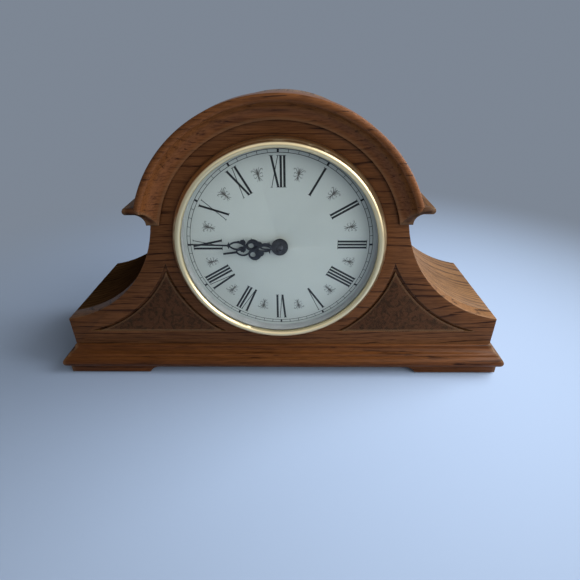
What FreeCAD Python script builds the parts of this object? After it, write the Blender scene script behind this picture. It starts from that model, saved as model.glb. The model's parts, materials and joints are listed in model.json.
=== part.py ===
import FreeCAD, Part
import math
import os

import Sketcher
from FreeCAD import Placement, Rotation, Vector

# Arch-hooded mantel clock in oak. Millimetres, +Z up, the dial looks along -Y.
# Most pieces are drawn from one point: where the dial's axis meets the front of the panel.
# There x runs to the right, y runs back into the case and z runs up.

os.makedirs("parts", exist_ok=True)
doc = FreeCAD.newDocument("MantelClock")

sizes = {
    # Case boards
    "half_width": 225.6,
    "case_depth": 135.5,
    "panel_thickness": 18.0,
    "panel_drop": 114.0,
    "shoulder_drop": 82.0,
    "neck_margin": 19.4,
    "sweep_radius": 126.0,
    "neck_inset": 1.8,
    "wall": 8.0,
    "back_thickness": 12.0,
    # Hood and impost moulding, one profile for all of them
    "moulding_width": 20.6,
    "moulding_projection": 16.8,
    "hood_overhang": 6.2,
    "hood_rebate": 6.0,
    "impost_lift": 1.9,
    "list_width": 1.6,
    "list_out": 2.9,
    "cove_out": 14.6,
    "cove_bow": 3.0,
    "nose_width": 6.2,
    "nose_bow": 1.4,
    # Sunk spandrels and their burl panels
    "spandrel_margin": 19.2,
    "spandrel_lift": 16.6,
    "spandrel_sink": 2.4,
    "spandrel_groove": 3.0,
    "burl_thickness": 2.0,
    # Base moulding, from the top down
    "base_height": 32.5,
    "base_inner": 12.0,
    "top_list_out": 1.8,
    "top_list_drop": 1.5,
    "base_cove_out": 7.2,
    "base_cove_drop": 8.5,
    "base_cove_bow": 1.7,
    "quirk_out": 8.7,
    "quirk_drop": 10.4,
    "bead_gap": 0.8,
    "bead_height": 12.6,
    "bead_bow": 4.8,
    "foot_out": 8.8,
    "apron_height": 7.0,
    "apron_half_width": 136.5,
    "apron_curve_width": 10.0,
    "apron_curve_bow": 1.6,
    "side_foot_length": 38.0,
    "base_board_thickness": 9.0,
    "block_side": 22.0,
    "felt_radius": 9.0,
    "felt_thickness": 1.5,
    # Bezel, glass and dial
    "sight_radius": 92.6,
    "bezel_front": 7.0,
    "bezel_lip": 2.6,
    "bezel_crown_width": 5.9,
    "bezel_crown_bow": 2.3,
    "bezel_radius": 101.0,
    "bezel_edge": 1.2,
    "bezel_flank_bow": 0.8,
    "spigot_radius": 96.8,
    "spigot_wall": 1.5,
    "spigot_depth": 9.0,
    "panel_hole_gap": 0.2,
    "glass_thickness": 2.0,
    "glass_crown": 3.5,
    "dial_sink": 6.8,
    "dial_thickness": 0.8,
    "pan_thickness": 1.2,
    "seat_gap": 0.1,
    "clip_width": 10.0,
    "clip_thickness": 1.2,
    "clip_reach": 9.0,
    "clip_land": 12.0,
    # Centre fixing and hands
    "washer_thickness": 1.0,
    "washer_radius": 9.0,
    "bushing_radius": 4.0,
    "nut_thickness": 2.2,
    "nut_radius": 6.9,
    "pipe_radius": 2.6,
    "arbor_radius": 1.5,
    "running_fit": 0.08,
    "hand_thickness": 0.6,
    "hand_gap": 0.4,
    "hour_hub_radius": 8.1,
    "hour_collet_radius": 3.8,
    "hour_collet_depth": 0.8,
    "hour_hand_length": 55.6,
    "hour_needle_width": 2.3,
    "minute_hub_radius": 7.4,
    "minute_collet_radius": 3.0,
    "minute_collet_depth": 0.8,
    "minute_hand_length": 87.2,
    "minute_needle_width": 1.7,
    "strand": 1.8,
    "spike_width": 3.2,
    "cap_radius": 3.4,
    "cap_height": 2.4,
    # Movement
    "movement_width": 110.0,
    "movement_rise": 34.0,
    "movement_fall": 52.0,
    "movement_depth": 28.0,
    "movement_wall": 2.0,
    "cover_thickness": 2.0,
    "wheel_module": 0.5,
    "pinion_module": 0.56,
    "tooth_play": 0.14,
    "hour_wheel_step": 0.6,
    "hour_wheel_width": 2.4,
    "layer_gap": 0.8,
    "wheel_width": 2.4,
    "minute_wheel_arbor": 1.0,
    "plate_thickness": 1.5,
    "plate_gap": 1.2,
    "plate_post_radius": 2.0,
    "plate_margin": 6.0,
    "board_thickness": 1.6,
    "board_gap": 3.0,
    "board_margin": 4.0,
    "chip_side": 9.0,
    "chip_height": 2.2,
    "setting_knob_radius": 8.0,
    "setting_knob_height": 6.5,
    "setting_knob_scallop": 1.0,
    "knob_clearance": 0.4,
    # Batteries
    "cell_radius": 7.2,
    "cell_length": 49.2,
    "cell_nub_radius": 2.7,
    "cell_nub_length": 1.2,
    "cell_gap": 0.6,
    "contact_thickness": 0.5,
    "bay_wall": 1.5,
    "lid_thickness": 1.6,
    "lid_lap": 3.0,
    "lid_rib": 1.2,
    "rail_width": 1.8,
    "rail_lip": 1.4,
    "slide_gap": 0.3,
    # Chime selector and volume slide
    "slide_cap_width": 7.0,
    "slide_cap_height": 4.0,
    "slide_cap_depth": 2.6,
    "slide_tongue": 2.4,
    "slide_foot_thickness": 1.6,
    "slide_travel": 8.0,
    "slide_inset": 10.0,
    "slide_spacing": 16.0,
    # Speaker
    "speaker_radius": 33.0,
    "speaker_inset": 67.6,
    "speaker_rim": 1.6,
    "speaker_height": 15.0,
    "speaker_neck_radius": 15.0,
    "speaker_shell": 1.2,
    "speaker_hole_radius": 25.0,
    "magnet_radius": 17.0,
    "magnet_height": 9.0,
    "cone_gap": 0.3,
    "lead_radius": 1.2,
    "terminal_width": 6.0,
    "terminal_height": 5.0,
    "terminal_depth": 4.0,
    # Rear door
    "door_half_width": 92.0,
    "door_drop": 98.0,
    "door_thickness": 8.0,
    "door_gap": 0.6,
    "door_stop": 4.5,
    "door_rest_gap": 0.3,
    "hinge_height": 24.0,
    "hinge_leaf_width": 12.0,
    "hinge_leaf_thickness": 1.0,
    "knuckle_radius": 2.2,
    "hinge_pin_radius": 1.1,
    "knuckle_gap": 0.2,
    "leaf_gap": 0.3,
    "hinge_inset": 10.0,
    "knob_radius": 7.0,
    "knob_neck_radius": 3.4,
    "knob_neck": 4.0,
    "knob_projection": 10.0,
    "knob_bow": 1.2,
    "knob_inset": 14.0,
    "catch_width": 24.0,
    "catch_height": 14.0,
    "catch_depth": 8.0,
    "catch_reach": 12.0,
    "catch_gap": 0.3,
    "strike_thickness": 1.0,
    # One overrun for every cut
    "overrun": 5.0,
}

cannon_teeth = 14
minute_wheel_teeth = 42
setting_teeth = 28
pinion_teeth = 10
hour_wheel_teeth = 40
pressure_angle = 20.0
full_turn = 360.0
quarter_turn = 90.0
rest_hour_share = 8.723 / 12.0
rest_minute_share = 45.3 / 60.0

sheet = doc.addObject("Spreadsheet::Sheet", "Sizes")
for row, (name, value) in enumerate(sizes.items(), start=1):
    sheet.set("A%d" % row, name)
    sheet.set("B%d" % row, str(value))
    sheet.setAlias("B%d" % row, name)
doc.recompute()


class Size:
    """A length: its value, and the sheet expression that gives the same value."""

    def __init__(self, value, text):
        self.value = value
        self.text = text

    def __add__(self, other):
        other = as_size(other)
        return Size(self.value + other.value, "(%s + %s)" % (self.text, other.text))

    def __sub__(self, other):
        other = as_size(other)
        return Size(self.value - other.value, "(%s - %s)" % (self.text, other.text))

    def __mul__(self, other):
        other = as_size(other)
        return Size(self.value * other.value, "(%s * %s)" % (self.text, other.text))

    def __truediv__(self, other):
        other = as_size(other)
        return Size(self.value / other.value, "(%s / %s)" % (self.text, other.text))

    def __neg__(self):
        return Size(-self.value, "(0 - %s)" % self.text)


def as_size(number):
    """A plain number as a Size."""
    if isinstance(number, Size):
        return number
    return Size(float(number), repr(float(number)))


def root(size):
    """The square root of a Size."""
    return Size(math.sqrt(size.value), "sqrt(%s)" % size.text)


class Sheet:
    """Reads each alias of the sheet as a Size: d.wall is the wall's thickness."""

    def __getattr__(self, name):
        return Size(float(sheet.get(name)), "Sizes." + name)


d = Sheet()
zero = as_size(0)

# Places that follow from the driving sizes
dial_height = d.panel_drop + d.base_height + d.felt_thickness
neck_half_width = d.bezel_radius + d.neck_margin
panel_y = (d.moulding_projection - d.case_depth - d.knob_projection) / 2
sweep_x = neck_half_width + d.sweep_radius - d.neck_inset
sweep_z = root(d.sweep_radius * d.sweep_radius - (sweep_x - d.half_width) * (sweep_x - d.half_width))
sweep_z = sweep_z - d.shoulder_drop
neck_rise = root(d.sweep_radius * d.neck_inset * 2 - d.neck_inset * d.neck_inset)
neck_z = sweep_z - neck_rise
impost_bottom = neck_z + d.impost_lift
impost_top = impost_bottom + d.moulding_width
shell_radius = root(neck_half_width * neck_half_width + impost_top * impost_top)
hood_inner = shell_radius + d.hood_overhang - d.moulding_width
hood_outer = shell_radius + d.hood_overhang
mitre_in_x = root(hood_inner * hood_inner - impost_bottom * impost_bottom)
mitre_out_x = root(hood_outer * hood_outer - impost_top * impost_top)
board_top = -d.panel_drop
dial_point = (zero, panel_y, dial_height)


# Bodies, sketches and features

nodes = []


def place(thing, point, turn=None):
    """Bind an object's position to the sheet and turn it about an axis."""
    if turn is not None:
        thing.Placement = Placement(Vector(0, 0, 0), Rotation(turn[0], turn[1]))
    for axis, size in zip("xyz", point):
        thing.setExpression("Placement.Base." + axis, as_size(size).text)


def new_body(label, point=None, turn=None):
    """An empty body for one sub-part, drawn from the given point."""
    body = doc.addObject("PartDesign::Body", label)
    body.Label = label
    body.AllowCompound = True
    place(body, point or dial_point, turn)
    nodes.append(body)
    return body


def new_sketch(body, plane, at=None):
    """A sketch on one of the body's own planes, or parallel to it at a coordinate."""
    sketch = body.newObject("Sketcher::SketchObject", body.Label + "_sketch")
    support = [f for f in body.Origin.OriginFeatures if f.Role == plane + "_Plane"][0]
    sketch.AttachmentSupport = (support, [""])
    sketch.MapMode = "FlatFace"
    if at is not None:
        offset = -as_size(at) if plane == "XZ" else as_size(at)
        sketch.setExpression("AttachmentOffset.Base.z", offset.text)
    return sketch


def pin(sketch, index, end, point):
    """Hold one end of an edge at a point, by its distances from the origin."""
    for kind, axis_edge, size in (("DistanceX", -2, point[0]), ("DistanceY", -1, point[1])):
        size = as_size(size)
        if size.text == zero.text:
            sketch.addConstraint(Sketcher.Constraint("PointOnObject", index, end, axis_edge))
            continue
        number = sketch.addConstraint(Sketcher.Constraint(kind, -1, 1, index, end, size.value))
        sketch.setExpression("Constraints[%d]" % number, size.text)


def bow_radius(start, end, bow):
    """The radius of the arc from start to end that rises by bow over its chord."""
    across = as_size(end[0]) - start[0]
    along = as_size(end[1]) - start[1]
    chord_squared = across * across + along * along
    return (chord_squared / 4 + bow * bow) / (bow * 2)


def dome_radius(radius, rise):
    """The radius of a ball whose cap has this rim radius and rise."""
    return (radius * radius + rise * rise) / (rise * 2)


def arc_geometry(start, end, radius, turn):
    """The arc from start to end with its centre on the left (turn 1) or the right (-1)."""
    first = Vector(as_size(start[0]).value, as_size(start[1]).value, 0)
    last = Vector(as_size(end[0]).value, as_size(end[1]).value, 0)
    chord = last - first
    reach = math.sqrt(max(radius * radius - chord.Length * chord.Length / 4, 0))
    left = Vector(-chord.y, chord.x, 0).normalize()
    centre = (first + last) / 2 + left * (reach * turn)
    angles = [math.atan2(v.y - centre.y, v.x - centre.x) for v in (first, last)]
    if turn < 0:
        angles.reverse()
    return Part.ArcOfCircle(Part.Circle(centre, Vector(0, 0, 1), radius), angles[0], angles[1])


def draw(sketch, points):
    """Draw a closed outline: (x, y) starts a line, (x, y, kind, size, turn) starts an arc."""
    corners = points[1:] + points[:1]
    first_edge = sketch.GeometryCount
    ends = []
    for start, end in zip(points, corners):
        if len(start) == 2:
            line = Part.LineSegment(
                Vector(as_size(start[0]).value, as_size(start[1]).value, 0),
                Vector(as_size(end[0]).value, as_size(end[1]).value, 0))
            sketch.addGeometry(line, False)
            ends.append((1, 2))
            continue
        kind, size, turn = start[2:]
        radius = bow_radius(start, end, size) if kind == "bow" else size
        index = sketch.addGeometry(arc_geometry(start, end, radius.value, turn), False)
        ends.append((1, 2) if turn > 0 else (2, 1))
        number = sketch.addConstraint(Sketcher.Constraint("Radius", index, radius.value))
        sketch.setExpression("Constraints[%d]" % number, radius.text)
    for step, start in enumerate(points):
        index = first_edge + step
        before = (step - 1) % len(points)
        sketch.addConstraint(Sketcher.Constraint(
            "Coincident", first_edge + before, ends[before][1], index, ends[step][0]))
        pin(sketch, index, ends[step][0], start)


def draw_circle(sketch, x, y, radius):
    """Draw a circle held by its centre and radius."""
    centre = Vector(as_size(x).value, as_size(y).value, 0)
    index = sketch.addGeometry(Part.Circle(centre, Vector(0, 0, 1), radius.value), False)
    pin(sketch, index, 3, (x, y))
    number = sketch.addConstraint(Sketcher.Constraint("Radius", index, radius.value))
    sketch.setExpression("Constraints[%d]" % number, radius.text)


def box_outline(low_x, low_y, high_x, high_y):
    """The four corners of an upright rectangle."""
    return [(low_x, low_y), (high_x, low_y), (high_x, high_y), (low_x, high_y)]


def pad(body, sketch, length, back=False, both=False):
    """Thicken a sketch; back runs against the plane's normal, both runs half each way."""
    feature = body.newObject("PartDesign::Pad", body.Label + "_pad")
    feature.Profile = sketch
    feature.SideType = "Symmetric" if both else "One side"
    feature.Reversed = back
    feature.setExpression("Length", as_size(length).text)
    return feature


def cut(body, sketch, length=None, back=False, both=False):
    """Cut a sketch out of the body, by a length or right through."""
    feature = body.newObject("PartDesign::Pocket", body.Label + "_pocket")
    feature.Profile = sketch
    feature.SideType = "Symmetric" if both else "One side"
    feature.Reversed = back
    if length is None:
        feature.Type = "ThroughAll"
    else:
        feature.setExpression("Length", as_size(length).text)
    return feature


def spin(body, sketch, axis="Y_Axis"):
    """Turn a sketch once round one of the body's own axes."""
    feature = body.newObject("PartDesign::Revolution", body.Label + "_turned")
    feature.Profile = sketch
    feature.ReferenceAxis = ([f for f in body.Origin.OriginFeatures if f.Role == axis][0], [""])
    feature.Angle = full_turn
    return feature


def mirrored(points, side):
    """The outline itself for side 1, and its mirror image in x for side -1."""
    if side > 0:
        return points
    return [(-as_size(p[0]), p[1]) + tuple(p[2:4]) + tuple(-t for t in p[4:]) for p in points]


def plain_piece(label, outline, plane, start, length, point=None):
    """One board: an outline on a plane, from a coordinate, over a length along that axis."""
    body = new_body(label, point)
    sketch = new_sketch(body, plane, start)
    draw(sketch, outline)
    pad(body, sketch, length, back=(plane == "XZ"))
    return body


def grouped(label, shapes):
    """Several separate solids under one name."""
    group = doc.addObject("Part::Compound", label)
    group.Label = label
    group.Links = shapes
    nodes.append(group)
    return group


def cylinder(name, radius, height, point, axis=None):
    """A cylinder along Z, or along another axis."""
    thing = doc.addObject("Part::Cylinder", name)
    thing.setExpression("Radius", as_size(radius).text)
    thing.setExpression("Height", as_size(height).text)
    along_x = (Vector(0, 1, 0), quarter_turn)
    along_y = (Vector(1, 0, 0), -quarter_turn)
    place(thing, point, {"x": along_x, "y": along_y, None: None}[axis])
    return thing


def block(name, low, high):
    """A box between two opposite corners."""
    thing = doc.addObject("Part::Box", name)
    for edge, start, end in zip(("Length", "Width", "Height"), low, high):
        thing.setExpression(edge, (as_size(end) - start).text)
    place(thing, low)
    return thing


def from_dial(x, y, z):
    """A point given from the dial point, in the clock's own frame."""
    return (as_size(x), panel_y + y, dial_height + z)


# Front panel, with its sunk spandrels

def case_outline():
    """The case from the front: flat foot, short ends, hollow shoulders and round top."""
    return [
        (-d.half_width, board_top),
        (d.half_width, board_top),
        (d.half_width, -d.shoulder_drop, "radius", d.sweep_radius, -1),
        (neck_half_width, neck_z),
        (neck_half_width, impost_top, "radius", shell_radius, 1),
        (-neck_half_width, impost_top),
        (-neck_half_width, neck_z, "radius", d.sweep_radius, -1),
        (-d.half_width, -d.shoulder_drop),
    ]


def spandrel_outline(groove):
    """The right-hand spandrel between dial circle and shoulder circle, less a groove."""
    inner = hood_inner + groove
    outer = d.sweep_radius + d.spandrel_margin + groove
    bottom = d.spandrel_lift - d.panel_drop
    apart = root(sweep_x * sweep_x + sweep_z * sweep_z)
    along = (inner * inner - outer * outer + apart * apart) / (apart * 2)
    aside = root(inner * inner - along * along)
    apex_x = (along * sweep_x + aside * sweep_z) / apart
    apex_z = (along * sweep_z - aside * sweep_x) / apart
    drop = sweep_z - bottom
    return [
        (root(inner * inner - bottom * bottom), bottom),
        (sweep_x - root(outer * outer - drop * drop), bottom, "radius", outer, -1),
        (apex_x, apex_z, "radius", inner, -1),
    ]


def front_panel():
    body = new_body("front_panel")
    board = new_sketch(body, "XZ")
    draw(board, case_outline())
    draw_circle(board, zero, zero, d.spigot_radius + d.panel_hole_gap)
    pad(body, board, d.panel_thickness, back=True)
    for side in (1, -1):
        recess = new_sketch(body, "XZ")
        draw(recess, mirrored(spandrel_outline(zero), side))
        cut(body, recess, d.spandrel_sink)


def burl_panels():
    start = d.spandrel_sink - d.burl_thickness
    for side, name in ((-1, "left_spandrel"), (1, "right_spandrel")):
        outline = mirrored(spandrel_outline(d.spandrel_groove), side)
        plain_piece(name, outline, "XZ", start, d.burl_thickness)


# Hood moulding and the imposts that it dies into

def moulding_profile(put, flipped):
    """The moulding's face, edge to edge; put turns (across, out) into sketch coordinates."""
    turn = -1 if flipped else 1
    cove_end = d.moulding_width - d.nose_width
    nose_edge = d.moulding_projection - d.nose_bow
    return [
        put(zero, zero),
        put(zero, d.list_out),
        put(d.list_width, d.list_out) + ("bow", d.cove_bow, turn),
        put(cove_end, d.cove_out),
        put(cove_end, nose_edge) + ("bow", d.nose_bow, -turn),
        put(d.moulding_width, nose_edge),
    ]


def arch_moulding():
    body = new_body("arch_moulding")
    section = new_sketch(body, "XY")
    profile = moulding_profile(lambda across, out: (hood_inner + across, -out), True)
    profile.append((hood_outer, d.hood_rebate))
    profile.append((shell_radius, d.hood_rebate))
    profile.append((shell_radius, zero))
    draw(section, profile)
    spin(body, section)
    reach = d.moulding_width
    low_x = mitre_in_x - (mitre_out_x - mitre_in_x) / 2
    low_z = impost_bottom - reach / 2
    high_x = mitre_out_x + (mitre_out_x - mitre_in_x) / 2
    high_z = impost_top + reach / 2
    far = hood_outer + d.overrun
    under = new_sketch(body, "XZ")
    draw(under, [
        (low_x, low_z), (high_x, high_z), (far, high_z), (far, -far),
        (-far, -far), (-far, high_z), (-high_x, high_z), (-low_x, low_z)])
    cut(body, under, both=True)
    out = d.moulding_projection + d.overrun
    for side in (1, -1):
        seat = new_sketch(body, "XY", impost_top)
        draw(seat, mirrored([
            (neck_half_width + out, -out),
            (neck_half_width + out, d.hood_rebate + d.overrun),
            (neck_half_width, d.hood_rebate + d.overrun),
            (neck_half_width, zero)], side))
        cut(body, seat)


def imposts():
    out = d.moulding_projection + d.overrun
    corner = neck_half_width
    for side, word in ((-1, "left"), (1, "right")):
        front = new_body(word + "_impost_front")
        section = new_sketch(front, "YZ", mitre_in_x * side)
        profile = moulding_profile(lambda across, proud: (-proud, impost_bottom + across), False)
        draw(section, profile + [(zero, impost_top)])
        pad(front, section, corner + d.moulding_projection - mitre_in_x, back=(side < 0))
        hood_mitre = new_sketch(front, "XZ")
        reach_x = mitre_out_x - mitre_in_x
        draw(hood_mitre, mirrored([
            (mitre_in_x - reach_x, impost_bottom - d.moulding_width),
            (mitre_out_x + reach_x, impost_top + d.moulding_width),
            (mitre_in_x - reach_x, impost_top + d.moulding_width)], side))
        cut(front, hood_mitre, both=True)
        corner_mitre = new_sketch(front, "XY")
        draw(corner_mitre, mirrored([
            (corner - d.overrun, d.overrun),
            (corner + out, -out),
            (corner + out, d.overrun)], side))
        cut(front, corner_mitre, both=True)

        back = new_body(word + "_impost_return")
        section = new_sketch(back, "XZ", -d.moulding_projection)
        profile = moulding_profile(
            lambda across, proud: (corner + proud, impost_bottom + across), True)
        draw(section, mirrored(profile + [(corner, impost_top)], side))
        pad(back, section, d.moulding_projection + d.case_depth, back=True)
        corner_mitre = new_sketch(back, "XY")
        draw(corner_mitre, mirrored([
            (corner - d.overrun, d.overrun),
            (corner - d.overrun, -out),
            (corner + out, -out)], side))
        cut(back, corner_mitre, both=True)


# Shell, shoulders, ends and back

inner_neck_x = neck_half_width - d.wall
inner_arch = shell_radius - d.wall
inner_arch_z = root(inner_arch * inner_arch - inner_neck_x * inner_neck_x)
inner_end_x = d.half_width - d.wall
inner_sweep = root((sweep_x - inner_neck_x) * (sweep_x - inner_neck_x) + neck_rise * neck_rise)


def sweep_height(x):
    """How high the underside of the shoulder board is at x."""
    return sweep_z - root(inner_sweep * inner_sweep - (sweep_x - x) * (sweep_x - x))


def case_boards():
    start = d.panel_thickness
    length = d.case_depth - d.panel_thickness
    plain_piece("arched_shell", [
        (neck_half_width, neck_z),
        (neck_half_width, impost_top, "radius", shell_radius, 1),
        (-neck_half_width, impost_top),
        (-neck_half_width, neck_z),
        (-inner_neck_x, neck_z),
        (-inner_neck_x, inner_arch_z, "radius", inner_arch, -1),
        (inner_neck_x, inner_arch_z),
        (inner_neck_x, neck_z)], "XZ", start, length)
    for side, word in ((-1, "left"), (1, "right")):
        plain_piece(word + "_shoulder", mirrored([
            (d.half_width, -d.shoulder_drop, "radius", d.sweep_radius, -1),
            (neck_half_width, neck_z),
            (inner_neck_x, neck_z, "radius", inner_sweep, 1),
            (d.half_width, sweep_height(d.half_width))], side), "XZ", start, length)
        plain_piece(word + "_end", mirrored([
            (inner_end_x, board_top),
            (d.half_width, board_top),
            (d.half_width, sweep_height(d.half_width), "radius", inner_sweep, -1),
            (inner_end_x, sweep_height(inner_end_x))], side), "XZ", start, length)


def arched_opening(half_width, drop):
    """A round-topped opening about the dial's axis."""
    return [
        (half_width, -drop),
        (half_width, zero, "radius", half_width, 1),
        (zero, half_width, "radius", half_width, 1),
        (-half_width, zero),
        (-half_width, -drop),
    ]


def back_frame():
    body = new_body("back_frame")
    board = new_sketch(body, "XZ", d.case_depth - d.back_thickness)
    draw(board, [
        (-inner_end_x, board_top),
        (inner_end_x, board_top),
        (inner_end_x, sweep_height(inner_end_x), "radius", inner_sweep, -1),
        (inner_neck_x, neck_z),
        (inner_neck_x, inner_arch_z, "radius", inner_arch, 1),
        (-inner_neck_x, inner_arch_z),
        (-inner_neck_x, neck_z, "radius", inner_sweep, -1),
        (-inner_end_x, sweep_height(inner_end_x))])
    draw(board, arched_opening(d.door_half_width - d.door_stop, d.door_drop - d.door_stop))
    pad(body, board, d.back_thickness, back=True)
    rebate = new_sketch(body, "XZ", d.case_depth)
    draw(rebate, arched_opening(d.door_half_width, d.door_drop))
    cut(body, rebate, d.door_thickness + d.door_rest_gap, back=True)


# Base

def base_profile(put, flipped):
    """The base moulding's section; put turns (out, down) into sketch coordinates."""
    turn = -1 if flipped else 1
    bead_top = d.quirk_drop + d.bead_gap
    return [
        put(-d.base_inner, zero),
        put(zero, zero),
        put(d.top_list_out, d.top_list_drop) + ("bow", d.base_cove_bow, -turn),
        put(d.base_cove_out, d.base_cove_drop),
        put(d.quirk_out, d.quirk_drop),
        put(d.foot_out, bead_top) + ("bow", d.bead_bow, turn),
        put(d.foot_out, bead_top + d.bead_height),
        put(d.foot_out, d.base_height),
        put(-d.base_inner, d.base_height),
    ]


def apron_outline(low, high):
    """The cut under the apron between two feet, with a curved corner at each foot."""
    floor = board_top - d.base_height
    apron = floor + d.apron_height
    return [
        (low - d.apron_curve_width, floor - d.overrun),
        (high + d.apron_curve_width, floor - d.overrun),
        (high + d.apron_curve_width, floor, "bow", d.apron_curve_bow, 1),
        (high, apron),
        (low, apron, "bow", d.apron_curve_bow, 1),
        (low - d.apron_curve_width, floor),
    ]


def base_mouldings():
    out = d.foot_out + d.bead_bow + d.overrun
    corner = d.half_width
    inner = d.base_inner + d.overrun
    front = new_body("front_base_moulding")
    section = new_sketch(front, "YZ")
    draw(section, base_profile(lambda proud, down: (-proud, board_top - down), False))
    pad(front, section, (corner + d.foot_out + d.bead_bow) * 2, both=True)
    for side in (1, -1):
        mitre = new_sketch(front, "XY")
        draw(mitre, mirrored([
            (corner - inner, inner), (corner + out, -out), (corner + out, inner)], side))
        cut(front, mitre, both=True)
    apron = new_sketch(front, "XZ")
    draw(apron, apron_outline(-d.apron_half_width, d.apron_half_width))
    cut(front, apron, both=True)
    for side, word in ((-1, "left"), (1, "right")):
        body = new_body(word + "_base_moulding")
        start = -(d.foot_out + d.bead_bow)
        section = new_sketch(body, "XZ", start)
        draw(section, mirrored(base_profile(
            lambda proud, down: (corner + proud, board_top - down), True), side))
        pad(body, section, d.case_depth - start, back=True)
        mitre = new_sketch(body, "XY")
        draw(mitre, mirrored([
            (corner - inner, inner), (corner - inner, -out), (corner + out, -out)], side))
        cut(body, mitre, both=True)
        apron = new_sketch(body, "YZ")
        draw(apron, apron_outline(d.side_foot_length, d.case_depth - d.side_foot_length))
        cut(body, apron, both=True)


inner_base_x = d.half_width - d.base_inner
rail_y = d.case_depth - d.base_inner
speaker_x = inner_base_x - d.speaker_inset
speaker_y = (d.base_inner + rail_y) / 2


def base_inside():
    rail = plain_piece(
        "rear_base_rail",
        box_outline(-inner_base_x, board_top - d.base_height, inner_base_x, board_top),
        "XZ", rail_y, d.base_inner)
    apron = new_sketch(rail, "XZ")
    draw(apron, apron_outline(-d.apron_half_width, d.apron_half_width))
    cut(rail, apron, both=True)
    board = new_body("base_board")
    sheet_plan = new_sketch(board, "XY", board_top - d.base_board_thickness)
    draw(sheet_plan, box_outline(-inner_base_x, d.base_inner, inner_base_x, rail_y))
    draw_circle(sheet_plan, speaker_x, speaker_y, d.speaker_hole_radius)
    pad(board, sheet_plan, d.base_board_thickness)
    low_z = board_top - d.base_height
    high_z = board_top - d.base_board_thickness
    blocks = []
    pads = []
    for side in (-1, 1):
        for y in (d.base_inner, rail_y - d.block_side):
            x = inner_base_x - d.block_side if side > 0 else -inner_base_x
            name = "%s_%d" % ("right" if side > 0 else "left", len(blocks) + 1)
            blocks.append(block(
                "block_" + name, from_dial(x, y, low_z),
                from_dial(as_size(x) + d.block_side, y + d.block_side, high_z)))
            centre = from_dial(as_size(x) + d.block_side / 2, y + d.block_side / 2, low_z)
            under = (centre[0], centre[1], centre[2] - d.felt_thickness)
            pads.append(cylinder("felt_" + name, d.felt_radius, d.felt_thickness, under))
    grouped("corner_blocks", blocks)
    grouped("felt_pads", pads)


# Bezel, glass, dial and what holds them in the panel

lip_back = d.bezel_lip - d.bezel_front
bore_radius = d.spigot_radius - d.spigot_wall
glass_back = lip_back + d.glass_thickness
dial_back = d.dial_sink + d.dial_thickness
pan_back = dial_back + d.pan_thickness


def bezel():
    body = new_body("bezel")
    section = new_sketch(body, "XY")
    crown_end = d.sight_radius + d.bezel_crown_width
    draw(section, [
        (d.sight_radius, lip_back),
        (d.sight_radius, -d.bezel_front, "bow", d.bezel_crown_bow, 1),
        (crown_end, -d.bezel_front, "bow", d.bezel_flank_bow, 1),
        (d.bezel_radius, -d.bezel_edge),
        (d.bezel_radius, zero),
        (d.spigot_radius, zero),
        (d.spigot_radius, d.spigot_depth),
        (bore_radius, d.spigot_depth),
        (bore_radius, lip_back)])
    spin(body, section)


def glass():
    body = new_body("glass")
    section = new_sketch(body, "XY")
    edge = bore_radius - d.seat_gap
    crown = dome_radius(d.sight_radius, d.glass_crown)
    draw(section, [
        (zero, glass_back - d.glass_crown, "radius", crown, 1),
        (d.sight_radius, glass_back),
        (edge, glass_back),
        (edge, lip_back),
        (d.sight_radius, lip_back, "radius", crown, -1),
        (zero, lip_back - d.glass_crown)])
    spin(body, section)


def sight_ring():
    body = new_body("sight_ring")
    section = new_sketch(body, "XY")
    draw(section, box_outline(d.sight_radius, glass_back, bore_radius - d.seat_gap, d.dial_sink))
    spin(body, section)


def dial():
    edge = bore_radius - d.seat_gap
    for name, start, thickness in (
            ("dial_plate", d.dial_sink, d.dial_thickness),
            ("dial_pan", dial_back, d.pan_thickness)):
        body = new_body(name)
        disc = new_sketch(body, "XZ", start)
        draw_circle(disc, zero, zero, edge)
        draw_circle(disc, zero, zero, d.bushing_radius + d.seat_gap)
        pad(body, disc, thickness, back=True)


def dial_clips():
    """Three bent springs, screwed to the back of the panel, that press on the pan."""
    body = new_body("dial_clips")
    section = new_sketch(body, "XY")
    hole = d.spigot_radius + d.panel_hole_gap
    back = d.panel_thickness
    toe = bore_radius - d.clip_reach
    draw(section, [
        (toe, pan_back),
        (toe + d.clip_reach / 2, pan_back),
        (toe + d.clip_reach / 2, back),
        (hole + d.clip_land, back),
        (hole + d.clip_land, back + d.clip_thickness),
        (toe + d.clip_reach / 2 - d.clip_thickness, back + d.clip_thickness),
        (toe + d.clip_reach / 2 - d.clip_thickness, pan_back + d.clip_thickness),
        (toe, pan_back + d.clip_thickness)])
    strip = pad(body, section, d.clip_width, both=True)
    ring = body.newObject("PartDesign::PolarPattern", "dial_clips_ring")
    ring.Originals = [strip]
    ring.Axis = ([f for f in body.Origin.OriginFeatures if f.Role == "Y_Axis"][0], [""])
    ring.Angle = full_turn
    ring.Occurrences = 3
    body.Tip = ring


# Movement: case, motion work, board, batteries and slides

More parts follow.
